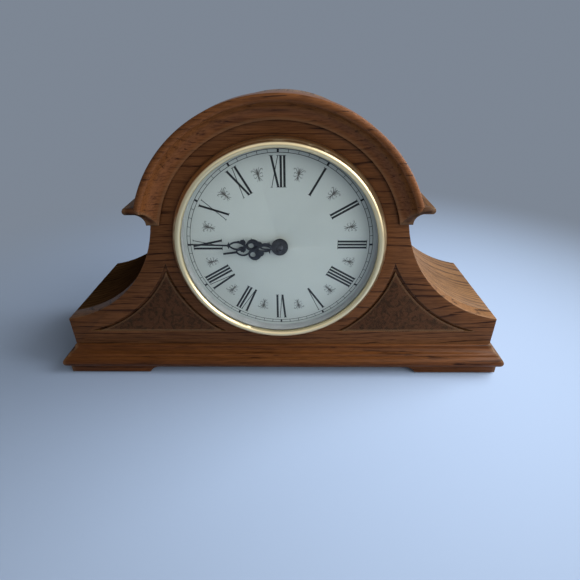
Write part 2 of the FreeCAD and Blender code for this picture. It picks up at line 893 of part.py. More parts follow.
case_front = pan_back + d.washer_thickness
case_floor = case_front + d.movement_wall
case_rear = case_front + d.movement_depth
cover_back = case_rear + d.cover_thickness
hour_wheel_y = case_floor + d.hour_wheel_step
minute_wheel_y = hour_wheel_y + d.hour_wheel_width + d.layer_gap
plate_y = minute_wheel_y + d.wheel_width + d.plate_gap
circuit_y = plate_y + d.plate_thickness + d.board_gap
motion_distance = d.wheel_module * ((cannon_teeth + minute_wheel_teeth) / 2)
set_distance = d.wheel_module * ((minute_wheel_teeth + setting_teeth) / 2)
set_rise_share = math.sqrt(3) / 2
set_x = set_distance / 2 - motion_distance
set_z = set_distance * set_rise_share
movement_side = d.movement_width / 2
bay_half_length = d.cell_length / 2 + d.cell_nub_length / 2 + d.cell_gap + d.contact_thickness
bay_height = d.cell_radius * 4 + d.cell_gap * 3
bay_bottom = d.movement_wall - d.movement_fall
bay_top = bay_bottom + bay_height
bay_y = case_rear - d.cell_radius * 2 - d.cell_gap
bushing_front = d.dial_sink - d.nut_thickness - d.running_fit * 2


def cavity(body, low_x, low_z, high_x, high_z, depth):
    """Cut a pocket from the open back of the movement case."""
    sketch = new_sketch(body, "XZ", case_rear)
    draw(sketch, box_outline(low_x, low_z, high_x, high_z))
    cut(body, sketch, depth, back=True)


def post(body, x, z, radius, length, start):
    """A round post that stands back from a floor."""
    sketch = new_sketch(body, "XZ", start)
    draw_circle(sketch, x, z, radius)
    pad(body, sketch, length, back=True)


def bore(body, x, z, radius):
    """A round hole right through along y."""
    sketch = new_sketch(body, "XZ")
    draw_circle(sketch, x, z, radius)
    cut(body, sketch, both=True)


def movement_case():
    body = new_body("movement_case")
    outside = new_sketch(body, "XZ", case_front)
    draw(outside, box_outline(-movement_side, -d.movement_fall, movement_side, d.movement_rise))
    pad(body, outside, d.movement_depth, back=True)
    inside_x = movement_side - d.movement_wall
    bay_side = bay_half_length + d.bay_wall
    work_bottom = bay_top + d.bay_wall
    cavity(body, -inside_x, work_bottom, inside_x, d.movement_rise - d.movement_wall,
           case_rear - case_floor)
    for low_x, high_x in ((bay_side, inside_x), (-inside_x, -bay_side)):
        cavity(body, low_x, bay_bottom, high_x, bay_top, case_rear - case_floor)
    cavity(body, -bay_half_length, bay_bottom, bay_half_length, bay_top, case_rear - bay_y)
    bushing = new_sketch(body, "XZ", bushing_front)
    draw_circle(bushing, zero, zero, d.bushing_radius)
    pad(body, bushing, case_floor - bushing_front, back=True)
    for x, z in plate_corners():
        post(body, x, z, d.plate_post_radius, plate_y - case_floor, case_floor)
    for x, z in board_corners():
        post(body, x, z, d.plate_post_radius, circuit_y - case_floor, case_floor)
    bore(body, zero, zero, d.pipe_radius + d.running_fit)
    bore(body, -motion_distance, zero, d.minute_wheel_arbor + d.running_fit)


def plate_reach():
    """How far the bearing plate stands out round the wheels: left, right, bottom and top."""
    wheel = d.wheel_module * (minute_wheel_teeth / 2) + d.plate_margin
    hour = d.pinion_module * (hour_wheel_teeth / 2) + d.plate_margin
    set_radius = d.wheel_module * (setting_teeth / 2) + d.plate_margin
    return (-(motion_distance + wheel), hour, bay_top + d.bay_wall, set_z + set_radius)


def plate_corners():
    left, right, bottom, top = plate_reach()
    inset = d.plate_post_radius
    return [(x, z) for x in (left + inset, right - inset) for z in (bottom + inset, top - inset)]


def board_corners():
    side = movement_side - d.movement_wall - d.board_margin
    low = bay_top + d.bay_wall + d.board_margin
    high = d.movement_rise - d.movement_wall - d.board_margin
    return [(x, z) for x in (-side, side) for z in (low, high)]


def movement_plate():
    left, right, bottom, top = plate_reach()
    body = plain_piece(
        "bearing_plate", box_outline(left, bottom, right, top), "XZ", plate_y, d.plate_thickness)
    bore(body, zero, zero, d.arbor_radius + d.running_fit)
    bore(body, -motion_distance, zero, d.minute_wheel_arbor + d.running_fit)
    bore(body, set_x, set_z, d.arbor_radius + d.running_fit)


def movement_cover():
    body = plain_piece(
        "movement_cover",
        box_outline(-movement_side, -d.movement_fall, movement_side, d.movement_rise),
        "XZ", case_rear, d.cover_thickness)
    opening = new_sketch(body, "XZ", case_rear)
    draw(opening, box_outline(-bay_half_length, bay_bottom, bay_half_length, bay_top))
    cut(body, opening, d.cover_thickness)
    rail_in = bay_half_length + d.lid_lap + d.slide_gap
    rail_out = rail_in + d.rail_width
    lid_face = cover_back + d.lid_thickness + d.slide_gap * 2
    for side in (1, -1):
        rail = new_sketch(body, "XY", bay_bottom)
        draw(rail, mirrored([
            (rail_in, cover_back),
            (rail_out, cover_back),
            (rail_out, lid_face + d.rail_lip),
            (rail_in - d.rail_lip, lid_face + d.rail_lip),
            (rail_in - d.rail_lip, lid_face),
            (rail_in, lid_face)], side))
        pad(body, rail, bay_height)
    bore(body, set_x, set_z, d.arbor_radius + d.running_fit)
    for x, z in slide_places():
        slot = new_sketch(body, "XZ", case_rear)
        half = (d.slide_travel + d.slide_tongue) / 2 + d.slide_gap
        tall = d.slide_tongue / 2 + d.slide_gap
        draw(slot, box_outline(x - half, z - tall, x + half, z + tall))
        cut(body, slot, d.cover_thickness)


def slide_places():
    """The middles of the two slots, the chime selector above the volume slide."""
    x = movement_side - d.slide_inset - d.slide_travel
    return [(x, d.slide_spacing), (x, zero)]


def slides():
    for name, (x, z) in zip(("chime_selector", "volume_slide"), slide_places()):
        body = new_body(name)
        rest_x = x - d.slide_travel / 2
        half = d.slide_tongue / 2
        wide = d.slide_cap_width / 2
        tall = d.slide_cap_height / 2
        foot_y = case_rear - d.slide_gap - d.slide_foot_thickness
        cap_y = cover_back + d.slide_gap
        foot = new_sketch(body, "XZ", foot_y)
        draw(foot, box_outline(rest_x - wide, z - tall, rest_x + wide, z + tall))
        pad(body, foot, d.slide_foot_thickness, back=True)
        tongue = new_sketch(body, "XZ", foot_y)
        draw(tongue, box_outline(rest_x - half, z - half, rest_x + half, z + half))
        pad(body, tongue, cap_y - foot_y, back=True)
        cap = new_sketch(body, "XZ", cap_y)
        draw(cap, box_outline(rest_x - wide, z - tall, rest_x + wide, z + tall))
        pad(body, cap, d.slide_cap_depth, back=True)


def circuit_board():
    side = movement_side - d.movement_wall - d.seat_gap
    low = bay_top + d.bay_wall + d.seat_gap
    high = d.movement_rise - d.movement_wall - d.seat_gap
    body = plain_piece(
        "circuit_board", box_outline(-side, low, side, high), "XZ", circuit_y, d.board_thickness)
    chip = new_sketch(body, "XZ", circuit_y + d.board_thickness)
    draw(chip, box_outline(-side / 2 - d.chip_side, low + d.chip_side, -side / 2, low + d.chip_side * 2))
    pad(body, chip, d.chip_height, back=True)
    bore(body, set_x, set_z, d.arbor_radius * 2)


def batteries():
    shapes = []
    y = bay_y + d.cell_radius + d.cell_gap / 2
    for row, way in ((0, 1), (1, -1)):
        z = bay_bottom + d.cell_gap + d.cell_radius + (d.cell_radius * 2 + d.cell_gap) * row
        start = -(d.cell_length + d.cell_nub_length) / 2
        can_x = start if way > 0 else start + d.cell_nub_length
        nub_x = start + d.cell_length if way > 0 else start
        can = cylinder("can_%d" % row, d.cell_radius, d.cell_length, from_dial(can_x, y, z), "x")
        nub = cylinder("nub_%d" % row, d.cell_nub_radius, d.cell_nub_length, from_dial(nub_x, y, z), "x")
        cell = doc.addObject("Part::Fuse", "cell_%d" % row)
        cell.Base = can
        cell.Tool = nub
        shapes.append(cell)
    grouped("batteries", shapes)


def battery_contacts():
    shapes = []
    y = bay_y + d.cell_gap
    for side in (-1, 1):
        for row in (0, 1):
            x = bay_half_length - d.contact_thickness if side > 0 else -bay_half_length
            z = bay_bottom + d.cell_gap + (d.cell_radius * 2 + d.cell_gap) * row
            low = from_dial(x, y, z)
            high = from_dial(as_size(x) + d.contact_thickness, y + d.cell_radius * 2, z + d.cell_radius * 2)
            shapes.append(block("contact_%d" % len(shapes), low, high))
    grouped("battery_contacts", shapes)


def battery_lid():
    half = bay_half_length + d.lid_lap
    start = cover_back + d.slide_gap
    low = bay_bottom
    body = plain_piece(
        "battery_lid", box_outline(-half, low, half, bay_top + d.lid_lap), "XZ", start, d.lid_thickness)
    grip_width = half / 2
    for row in range(4):
        z = low + d.lid_lap + d.lid_rib * 2 * row
        rib = new_sketch(body, "XZ", start + d.lid_thickness)
        draw(rib, box_outline(-grip_width, z, grip_width, z + d.lid_rib))
        pad(body, rib, d.lid_rib / 2, back=True)


# Wheels

def tooth_angle(teeth, module, radius):
    """Half the angle that a tooth fills at a radius, with involute flanks and some play."""
    pitch_radius = teeth * module / 2
    base_radius = pitch_radius * math.cos(math.radians(pressure_angle))
    at_pitch = math.pi / 2 / teeth - d.tooth_play.value / 2 / pitch_radius
    slope = math.acos(min(base_radius / max(radius, base_radius), 1.0))
    at_pressure = math.radians(pressure_angle)
    return at_pitch + math.tan(at_pressure) - at_pressure - math.tan(slope) + slope


def gear(teeth, module, phase, width, bore_radius=0.0):
    """A toothed disc about y, one tooth pointing at the phase angle, from y = 0 back."""
    pitch_radius = teeth * module / 2
    levels = (pitch_radius - module * root_share, pitch_radius, pitch_radius + module * tip_share)
    corners = []
    for tooth in range(teeth):
        middle = phase + 2 * math.pi * tooth / teeth
        flank = [(radius, tooth_angle(teeth, module, radius)) for radius in levels]
        flanks = [(radius, middle - half) for radius, half in flank]
        flanks += [(radius, middle + half) for radius, half in reversed(flank)]
        corners += [Vector(r * math.cos(a), 0, r * math.sin(a)) for r, a in flanks]
    outline = Part.makePolygon(corners + corners[:1])
    disc = Part.Face(outline).extrude(Vector(0, width, 0))
    if bore_radius:
        disc = disc.cut(Part.makeCylinder(bore_radius, width, Vector(0, 0, 0), Vector(0, 1, 0)))
    return disc


root_share = 1.15
tip_share = 0.85


def meshed(phase, teeth, line, other_teeth):
    """The phase of a wheel in mesh, at the angle line from a wheel of known phase."""
    part_tooth = (line - phase) * teeth / (2 * math.pi)
    other_part = 0.5 - part_tooth
    return line + math.pi - other_part * 2 * math.pi / other_teeth


def shaft(radius, start, end):
    """A plain shaft about the y axis."""
    return Part.makeCylinder(radius, end - start, Vector(0, start, 0), Vector(0, 1, 0))


def tube_of(radius, hole, start, end):
    """A pipe about the y axis."""
    return shaft(radius, start, end).cut(shaft(hole, start, end))


def moved(shape, y):
    """A copy set back along y."""
    copy = shape.copy()
    copy.translate(Vector(0, y, 0))
    return copy


def feature(label, shape, point):
    """A piece whose shape is worked out here from the sheet's sizes."""
    thing = doc.addObject("Part::Feature", label)
    thing.Label = label
    thing.Shape = shape
    place(thing, point)
    nodes.append(thing)
    return thing


cannon_phase = 0.0
minute_phase = meshed(cannon_phase, cannon_teeth, math.pi, minute_wheel_teeth)
set_line = math.atan2(set_z.value, (set_distance / 2).value)
set_phase = meshed(minute_phase, minute_wheel_teeth, set_line, setting_teeth)
pinion_phase = 0.0
hour_phase = meshed(pinion_phase, pinion_teeth, 0.0, hour_wheel_teeth)

hour_hand_back = bushing_front - d.hand_gap - d.hour_collet_depth
hour_hand_front = hour_hand_back - d.hand_thickness
minute_hand_back = hour_hand_front - d.hand_gap - d.minute_collet_depth
minute_hand_front = minute_hand_back - d.hand_thickness


def motion_work():
    module = d.wheel_module.value
    fine = d.pinion_module.value
    width = d.wheel_width.value
    cannon = gear(cannon_teeth, module, cannon_phase, width)
    front = (minute_hand_front - d.cap_height / 2).value
    arbor = shaft(d.arbor_radius.value, front, (plate_y + d.plate_thickness).value)
    feature("minute_arbor", arbor.fuse(moved(cannon, minute_wheel_y.value)), dial_point)

    wheel = gear(minute_wheel_teeth, module, minute_phase, width)
    leaves = (minute_wheel_y - hour_wheel_y).value
    pinion = gear(pinion_teeth, fine, pinion_phase, leaves)
    low = (case_front + d.seat_gap).value
    staff = shaft(d.minute_wheel_arbor.value, low, (plate_y + d.plate_thickness).value)
    solid = staff.fuse([moved(wheel, minute_wheel_y.value), moved(pinion, hour_wheel_y.value)])
    feature("minute_wheel", solid, from_dial(-motion_distance, zero, zero))

    hole = (d.arbor_radius + d.running_fit).value
    hour = gear(hour_wheel_teeth, fine, hour_phase, d.hour_wheel_width.value, hole)
    pipe = tube_of(
        d.pipe_radius.value, hole, hour_hand_front.value,
        (hour_wheel_y + d.hour_wheel_width).value)
    feature("hour_wheel", pipe.fuse(moved(hour, hour_wheel_y.value)), dial_point)

    setting = gear(setting_teeth, module, set_phase, width)
    knob_back = (cover_back + d.knob_clearance + d.setting_knob_height / 2).value
    stem = shaft(d.arbor_radius.value, minute_wheel_y.value, knob_back)
    feature("set_arbor", stem.fuse(moved(setting, minute_wheel_y.value)), from_dial(set_x, zero, set_z))


def set_knob():
    body = new_body("set_knob", from_dial(set_x, cover_back + d.knob_clearance, set_z))
    disc = new_sketch(body, "XZ")
    draw_circle(disc, zero, zero, d.setting_knob_radius)
    pad(body, disc, d.setting_knob_height, back=True)
    hole = new_sketch(body, "XZ")
    draw_circle(hole, zero, zero, d.arbor_radius)
    cut(body, hole, d.setting_knob_height / 2)
    scallop = new_sketch(body, "XZ")
    draw_circle(scallop, d.setting_knob_radius + d.setting_knob_scallop / 2, zero, d.setting_knob_scallop)
    groove = cut(body, scallop, both=True)
    ring = body.newObject("PartDesign::PolarPattern", "set_knob_grip")
    ring.Originals = [groove]
    ring.Axis = ([f for f in body.Origin.OriginFeatures if f.Role == "Y_Axis"][0], [""])
    ring.Angle = full_turn
    ring.Occurrences = 16
    body.Tip = ring


def centre_fixing():
    body = new_body("mounting_nut")
    plan = new_sketch(body, "XZ", d.dial_sink - d.nut_thickness)
    half_share = 0.5
    rise_share = math.sqrt(3) / 2
    shares = [(1, 0), (half_share, rise_share), (-half_share, rise_share),
              (-1, 0), (-half_share, -rise_share), (half_share, -rise_share)]
    draw(plan, [(d.nut_radius * x, d.nut_radius * z if z else zero) for x, z in shares])
    draw_circle(plan, zero, zero, d.bushing_radius)
    pad(body, plan, d.nut_thickness, back=True)
    body = new_body("rubber_washer")
    plan = new_sketch(body, "XZ", pan_back)
    draw_circle(plan, zero, zero, d.washer_radius)
    draw_circle(plan, zero, zero, d.bushing_radius)
    pad(body, plan, d.washer_thickness, back=True)


# Hands: pierced leaves on a hub, drawn pointing at twelve and turned to the hour

# Pierced leaves: start, end and half width, as shares of the hand's length
hour_leaves_share = [(0.13, 0.41, 0.068), (0.50, 0.78, 0.092)]
minute_leaves_share = [(0.06, 0.235, 0.042), (0.225, 0.385, 0.055), (0.375, 0.565, 0.052)]
# Pairs of scrolls: along and across the hand, radius, and radius of the eye
hour_scrolls_share = [(0.455, 0.086, 0.112, 0.046), (0.350, 0.078, 0.062, 0.0)]
minute_scrolls_share = [(0.405, 0.040, 0.034, 0.0), (0.452, 0.040, 0.020, 0.0)]
# Spikes across the hand: distance from the centre and half width
hour_spikes_share = [(0.19, 0.112), (0.455, 0.232)]
minute_spikes_share = [(0.115, 0.066), (0.24, 0.066), (0.395, 0.090), (0.56, 0.042)]
needle_tip_share = 0.8


def leaf_outline(low, high, bow):
    """A pointed leaf up the middle of the hand."""
    return [(zero, low, "bow", bow, 1), (zero, high, "bow", bow, 1)]


def hand(label, turn_share, length, back, hub_radius, shaft_radius, collet_radius, collet_depth,
         needle_width, leaves, scrolls, spikes):
    body = new_body(label, dial_point, (Vector(0, 1, 0), full_turn * turn_share))
    face = back - d.hand_thickness
    solids = [leaf_outline(length * low, length * high, length * width) for low, high, width in leaves]
    for middle, width in spikes:
        solids.append([
            (-length * width, length * middle), (zero, length * middle - d.spike_width / 2),
            (length * width, length * middle), (zero, length * middle + d.spike_width / 2)])
    needle_start = length * leaves[-1][1] - needle_width * 2
    solids.append([
        (-needle_width / 2, needle_start),
        (needle_width / 2, needle_start),
        (needle_width * needle_tip_share / 2, length),
        (-needle_width * needle_tip_share / 2, length)])
    circles = []
    eyes = []
    for along, across, radius, eye in scrolls:
        for side in (-1, 1):
            circles.append((length * across * side, length * along, length * radius))
            if eye:
                shift = length * (radius - eye) - d.strand
                eyes.append((length * across * side, length * along + shift, length * eye))
    for outline in solids:
        sketch = new_sketch(body, "XZ", face)
        draw(sketch, outline)
        pad(body, sketch, d.hand_thickness, back=True)
    for circle in circles:
        sketch = new_sketch(body, "XZ", face)
        draw_circle(sketch, *circle)
        pad(body, sketch, d.hand_thickness, back=True)
    for low, high, width in leaves:
        window = new_sketch(body, "XZ", face)
        draw(window, leaf_outline(
            length * low + d.strand, length * high - d.strand, length * width - d.strand))
        cut(body, window, d.hand_thickness)
    for eye in eyes:
        window = new_sketch(body, "XZ", face)
        draw_circle(window, *eye)
        cut(body, window, d.hand_thickness)
    middle = new_sketch(body, "XZ", face)
    draw_circle(middle, zero, zero, hub_radius)
    pad(body, middle, d.hand_thickness, back=True)
    collet = new_sketch(body, "XZ", back)
    draw_circle(collet, zero, zero, collet_radius)
    pad(body, collet, collet_depth, back=True)
    bore(body, zero, zero, shaft_radius)


def hands():
    hand("hour_hand", rest_hour_share, d.hour_hand_length, hour_hand_back, d.hour_hub_radius,
         d.pipe_radius, d.hour_collet_radius, d.hour_collet_depth, d.hour_needle_width,
         hour_leaves_share, hour_scrolls_share, hour_spikes_share)
    hand("minute_hand", rest_minute_share, d.minute_hand_length, minute_hand_back,
         d.minute_hub_radius, d.arbor_radius, d.minute_collet_radius, d.minute_collet_depth,
         d.minute_needle_width, minute_leaves_share, minute_scrolls_share, minute_spikes_share)
    body = new_body("hand_cap")
    section = new_sketch(body, "XY")
    face = minute_hand_front
    rim = d.cap_height / 4
    draw(section, [
        (zero, face - d.cap_height / 2),
        (d.arbor_radius, face - d.cap_height / 2),
        (d.arbor_radius, face),
        (d.cap_radius, face),
        (d.cap_radius, face - rim, "radius", dome_radius(d.cap_radius, d.cap_height - rim), -1),
        (zero, face - d.cap_height)])
    spin(body, section)


# Speaker over its hole in the base board

speaker_point = from_dial(speaker_x, speaker_y, board_top)


def speaker():
    shell = d.speaker_shell
    neck = d.speaker_neck_radius
    rise = d.speaker_height
    body = new_body("speaker_frame", speaker_point)
    section = new_sketch(body, "XZ")
    draw(section, [
        (d.speaker_hole_radius, zero),
        (d.speaker_radius, zero),
        (d.speaker_radius, d.speaker_rim),
        (d.speaker_hole_radius + d.speaker_rim * 2, d.speaker_rim),
        (neck + d.speaker_rim, rise),
        (neck - d.speaker_rim * 2, rise),
        (neck - d.speaker_rim * 2, rise - shell),
        (neck, rise - shell),
        (d.speaker_hole_radius, d.speaker_rim)])
    spin(body, section, "Z_Axis")
    tag = new_sketch(body, "XY")
    draw(tag, box_outline(
        -d.speaker_radius, -d.terminal_width / 2,
        d.terminal_depth - d.speaker_radius, d.terminal_width / 2))
    pad(body, tag, d.terminal_height)
    body = new_body("speaker_cone", speaker_point)
    section = new_sketch(body, "XZ")
    top = rise - shell - d.speaker_rim
    inner = neck - d.speaker_rim * 2
    draw(section, [
        (zero, top - shell),
        (inner, top - shell),
        (d.speaker_hole_radius - d.cone_gap, d.cone_gap),
        (d.speaker_hole_radius - d.cone_gap, d.speaker_rim),
        (inner, top),
        (zero, top)])
    spin(body, section, "Z_Axis")
    at = (speaker_point[0], speaker_point[1], speaker_point[2] + rise)
    magnet = cylinder("speaker_magnet", d.magnet_radius, d.magnet_height, at)
    nodes.append(magnet)


def rounded_path(points):
    """Straight runs joined by arcs as large as the runs allow."""
    bend_share = 0.45
    starts = [points[0]]
    arcs = []
    for before, here, after in zip(points, points[1:], points[2:]):
        inward = here - before
        outward = after - here
        shorter = min(inward.Length, outward.Length)
        trim = shorter * bend_share
        first = here - inward * (trim / inward.Length)
        last = here + outward * (trim / outward.Length)
        half_turn = inward.getAngle(outward) / 2
        radius = trim / math.tan(half_turn)
        to_centre = (outward / outward.Length - inward / inward.Length).normalize()
        centre = here + to_centre * (radius / math.cos(half_turn))
        middle = centre - to_centre * radius
        arcs.append((first, middle, last))
        print("lead bend radius %.1f" % radius)
    edges = []
    for first, middle, last in arcs:
        edges.append(Part.LineSegment(starts[-1], first).toShape())
        edges.append(Part.Arc(first, middle, last).toShape())
        starts.append(last)
    edges.append(Part.LineSegment(starts[-1], points[-1]).toShape())
    return Part.Wire(edges)


def speaker_lead():
    """Two-core lead from the movement's side to the tag on the speaker's frame."""
    start = Vector(movement_side.value, (case_rear - d.movement_depth / 2).value, -d.movement_fall.value / 2)
    end_x = (speaker_x - d.speaker_radius).value
    end_z = (board_top + d.terminal_height / 2).value
    end = Vector(end_x, speaker_y.value, end_z)
    across_shares = [0.0, 0.24, 0.40, 0.52, 0.74, 1.0]
    back_shares = [0.0, 0.0, 0.22, 0.62, 1.0, 1.0]
    down_shares = [0.0, 0.0, 0.24, 0.68, 1.0, 1.0]
    points = []
    for x_share, y_share, z_share in zip(across_shares, back_shares, down_shares):
        points.append(Vector(
            start.x + (end.x - start.x) * x_share,
            start.y + (end.y - start.y) * y_share,
            start.z + (end.z - start.z) * z_share))
    path = rounded_path(points)
    section = Part.Wire(Part.Circle(start, Vector(1, 0, 0), d.lead_radius.value).toShape())
    lead = path.makePipeShell([section], True, False)
    expected = math.pi * d.lead_radius.value ** 2 * path.Length
    print("lead length %.1f, volume over expected %.4f" % (path.Length, lead.Volume / expected))
    feature("speaker_lead", lead, dial_point)


# Rear door with its hinges, knob and catch

hinge_x = d.door_half_width
hinge_y = d.case_depth + d.knuckle_radius
hinge_rows = [-d.hinge_inset - d.hinge_height, d.hinge_inset - d.door_drop]


def rear_door():
    half = d.door_half_width - d.door_gap
    drop = d.door_drop - d.door_gap
    body = new_body("rear_door")
    board = new_sketch(body, "XZ", d.case_depth - d.door_thickness)
    draw(board, arched_opening(half, drop))
    pad(body, board, d.door_thickness, back=True)
    strike_x = -(half - d.catch_width / 2)
    catch_z = -(d.door_drop / 2)
    plain_piece("strike_plate", box_outline(
        strike_x - d.catch_reach / 2 + d.door_stop, catch_z - d.catch_height / 2,
        strike_x + d.catch_reach, catch_z + d.catch_height / 2), "XZ",
        d.case_depth - d.door_thickness - d.strike_thickness, d.strike_thickness)
    body = new_body("door_knob", from_dial(-(half - d.knob_inset), d.case_depth, -(d.door_drop / 2)))
    section = new_sketch(body, "XY")
    edge = d.knob_radius - d.knob_bow
    shoulder = d.knob_projection - d.knob_bow
    draw(section, [
        (zero, zero),
        (d.knob_neck_radius, zero, "bow", d.knob_bow / 2, -1),
        (d.knob_neck_radius, d.knob_neck),
        (edge, d.knob_neck + d.knob_bow, "bow", d.knob_bow, 1),
        (edge, shoulder, "radius", dome_radius(edge, d.knob_bow), 1),
        (zero, d.knob_projection)])
    spin(body, section)


def magnet_catch():
    face = d.case_depth - d.back_thickness
    outer = -(d.door_half_width + d.catch_reach)
    low_z = -(d.door_drop / 2) - d.catch_height / 2
    body = plain_piece(
        "magnet_catch", box_outline(outer, low_z, outer + d.catch_width, low_z + d.catch_height),
        "XZ", face - d.catch_depth, d.catch_depth)
    magnet = new_sketch(body, "XZ", face)
    inner = -(d.door_half_width - d.door_stop)
    draw(magnet, box_outline(inner + d.catch_gap, low_z, outer + d.catch_width, low_z + d.catch_height))
    pad(body, magnet,
        d.back_thickness - d.door_thickness - d.strike_thickness - d.catch_gap, back=True)


def knuckle(name, low_z, height):
    """One knuckle of a hinge, bored for the pin."""
    outer = cylinder(name + "_barrel", d.knuckle_radius, height, from_dial(hinge_x, hinge_y, low_z))
    return outer


def leaf_set(label, side, parts_share, pin_hole):
    """The leaves on one side of both hinges: side 1 on the case, -1 on the door."""
    solids = []
    for row, bottom in enumerate(hinge_rows):
        third = d.hinge_height / 3
        pieces = []
        low_x = hinge_x + d.knuckle_radius + d.leaf_gap
        high_x = hinge_x + d.hinge_leaf_width
        if side < 0:
            low_x, high_x = hinge_x - d.hinge_leaf_width, hinge_x - d.knuckle_radius - d.leaf_gap
        thickness = d.hinge_leaf_thickness
        pieces.append(block(
            "%s_plate_%d" % (label, row), from_dial(low_x, d.case_depth, bottom),
            from_dial(high_x, d.case_depth + thickness, bottom + d.hinge_height)))
        for step in parts_share:
            low_z = bottom + third * step + d.knuckle_gap / 2
            height = third - d.knuckle_gap
            name = "%s_%d_%d" % (label, row, step)
            pieces.append(knuckle(name, low_z, height))
            ends = (hinge_x, low_x) if side > 0 else (high_x, hinge_x)
            pieces.append(block(
                name + "_tongue", from_dial(ends[0], d.case_depth, low_z),
                from_dial(ends[1], d.case_depth + thickness, low_z + height)))
        joined = doc.addObject("Part::MultiFuse", "%s_leaf_%d" % (label, row))
        joined.Shapes = pieces
        hole = cylinder(
            "%s_hole_%d" % (label, row), pin_hole, d.hinge_height, from_dial(hinge_x, hinge_y, bottom))
        bored = doc.addObject("Part::Cut", "%s_bored_%d" % (label, row))
        bored.Base = joined
        bored.Tool = hole
        solids.append(bored)
    grouped(label, solids)


def hinges():
    leaf_set("case_hinge_leaves", 1, (0, 2), d.hinge_pin_radius)
    leaf_set("door_hinge_leaves", -1, (1,), d.hinge_pin_radius + d.running_fit)
    pins = []
    for row, bottom in enumerate(hinge_rows):
        pins.append(cylinder(
            "hinge_pin_%d" % row, d.hinge_pin_radius, d.hinge_height, from_dial(hinge_x, hinge_y, bottom)))
    grouped("hinge_pins", pins)


front_panel()
burl_panels()
arch_moulding()
imposts()
case_boards()
back_frame()
base_mouldings()
base_inside()
bezel()
glass()
sight_ring()
dial()
dial_clips()
centre_fixing()
movement_case()
movement_plate()
movement_cover()
slides()
circuit_board()
batteries()
battery_contacts()
battery_lid()
motion_work()
set_knob()
hands()
speaker()
speaker_lead()
rear_door()
magnet_catch()
hinges()

doc.recompute()

faults = [thing.Label for thing in doc.Objects if {"Invalid", "Error"} & set(thing.State)]
if faults:
    raise RuntimeError("failed objects: " + ", ".join(faults))
for node in nodes:
    shape = node.Shape
    if shape.isNull() or not shape.isValid() or not shape.Solids:
        raise RuntimeError("no valid solid in " + node.Label)

total = FreeCAD.BoundBox()
for node in nodes:
    node.Shape.exportStep("parts/%s.step" % node.Label)
    total.add(node.Shape.BoundBox)
print("%d nodes, %.1f x %.1f x %.1f" % (len(nodes), total.XLength, total.YLength, total.ZLength))
print("centre %.3f %.3f, lowest %.3f" % (total.Center.x, total.Center.y, total.ZMin))
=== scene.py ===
import json
import math

import bmesh
import bpy
from mathutils import Matrix, Vector

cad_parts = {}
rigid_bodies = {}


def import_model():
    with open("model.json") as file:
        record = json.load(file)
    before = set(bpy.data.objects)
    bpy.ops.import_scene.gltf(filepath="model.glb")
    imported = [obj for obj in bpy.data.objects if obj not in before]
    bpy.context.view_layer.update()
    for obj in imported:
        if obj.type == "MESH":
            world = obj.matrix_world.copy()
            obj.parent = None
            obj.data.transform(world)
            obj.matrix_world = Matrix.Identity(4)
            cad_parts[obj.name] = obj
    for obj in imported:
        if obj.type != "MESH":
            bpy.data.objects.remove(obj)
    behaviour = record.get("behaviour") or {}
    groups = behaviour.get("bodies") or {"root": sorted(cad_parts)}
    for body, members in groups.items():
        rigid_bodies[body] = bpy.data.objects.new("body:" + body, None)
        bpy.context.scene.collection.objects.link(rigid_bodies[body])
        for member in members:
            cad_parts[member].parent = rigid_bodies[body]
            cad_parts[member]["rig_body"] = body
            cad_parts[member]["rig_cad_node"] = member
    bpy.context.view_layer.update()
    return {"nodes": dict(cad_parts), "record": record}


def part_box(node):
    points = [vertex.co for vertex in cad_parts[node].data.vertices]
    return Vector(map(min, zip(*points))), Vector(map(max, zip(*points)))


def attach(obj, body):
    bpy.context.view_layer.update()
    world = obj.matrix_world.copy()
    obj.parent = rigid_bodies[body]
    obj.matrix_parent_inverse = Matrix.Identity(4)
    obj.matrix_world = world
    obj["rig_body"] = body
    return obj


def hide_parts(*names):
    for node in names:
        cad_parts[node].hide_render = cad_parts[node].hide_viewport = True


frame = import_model()
nodes = frame["nodes"]
print("frame: %d nodes" % len(nodes))

mm = 0.001
dialLow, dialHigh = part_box("dial_plate")
dialFace = dialLow.y  # the printed face of the dial
dialCentre = Vector((0.0, dialFace, (dialLow.z + dialHigh.z) / 2))
bodies = frame["record"]["behaviour"]["bodies"]
bodyOf = {node: body for body, members in bodies.items() for node in members}


# helpers for modelling

def workOn(piece):
    bpy.ops.object.select_all(action="DESELECT")
    piece.select_set(True)
    bpy.context.view_layer.objects.active = piece


# its place, turn and scale go into its mesh
def settle(piece):
    workOn(piece)
    bpy.ops.object.transform_apply(location=True, rotation=True, scale=True)


def remove(piece):
    workOn(piece)
    bpy.ops.object.delete()


def addModifier(piece, kind, **settings):
    modifier = piece.modifiers.new(kind.title(), kind)
    for name, value in settings.items():
        setattr(modifier, name, value)
    workOn(piece)
    bpy.ops.object.modifier_apply(modifier=modifier.name)


def joined(pieces, name):
    bpy.ops.object.select_all(action="DESELECT")
    for piece in pieces:
        piece.select_set(True)
    bpy.context.view_layer.objects.active = pieces[0]
    bpy.ops.object.join()
    whole = bpy.context.object
    whole.name = name
    whole.data.name = name
    return whole


def copyOf(piece, place=(0, 0, 0), turn=(0, 0, 0)):
    workOn(piece)
    bpy.ops.object.duplicate()
    copy = bpy.context.object
    copy.location = place
    copy.rotation_euler = turn
    settle(copy)
    return copy


def fit(piece, name, body, material):
    piece.name = name
    piece.data.name = name
    piece.data.materials.clear()
    piece.data.materials.append(material)
    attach(piece, body)
    return piece


# how a CAD node's copy is cleaned, eased and shaded: metres and degrees
easing = {"merge": 0.00001, "flat": 0.3, "sharp": 40, "segments": 2, "smooth": 35}


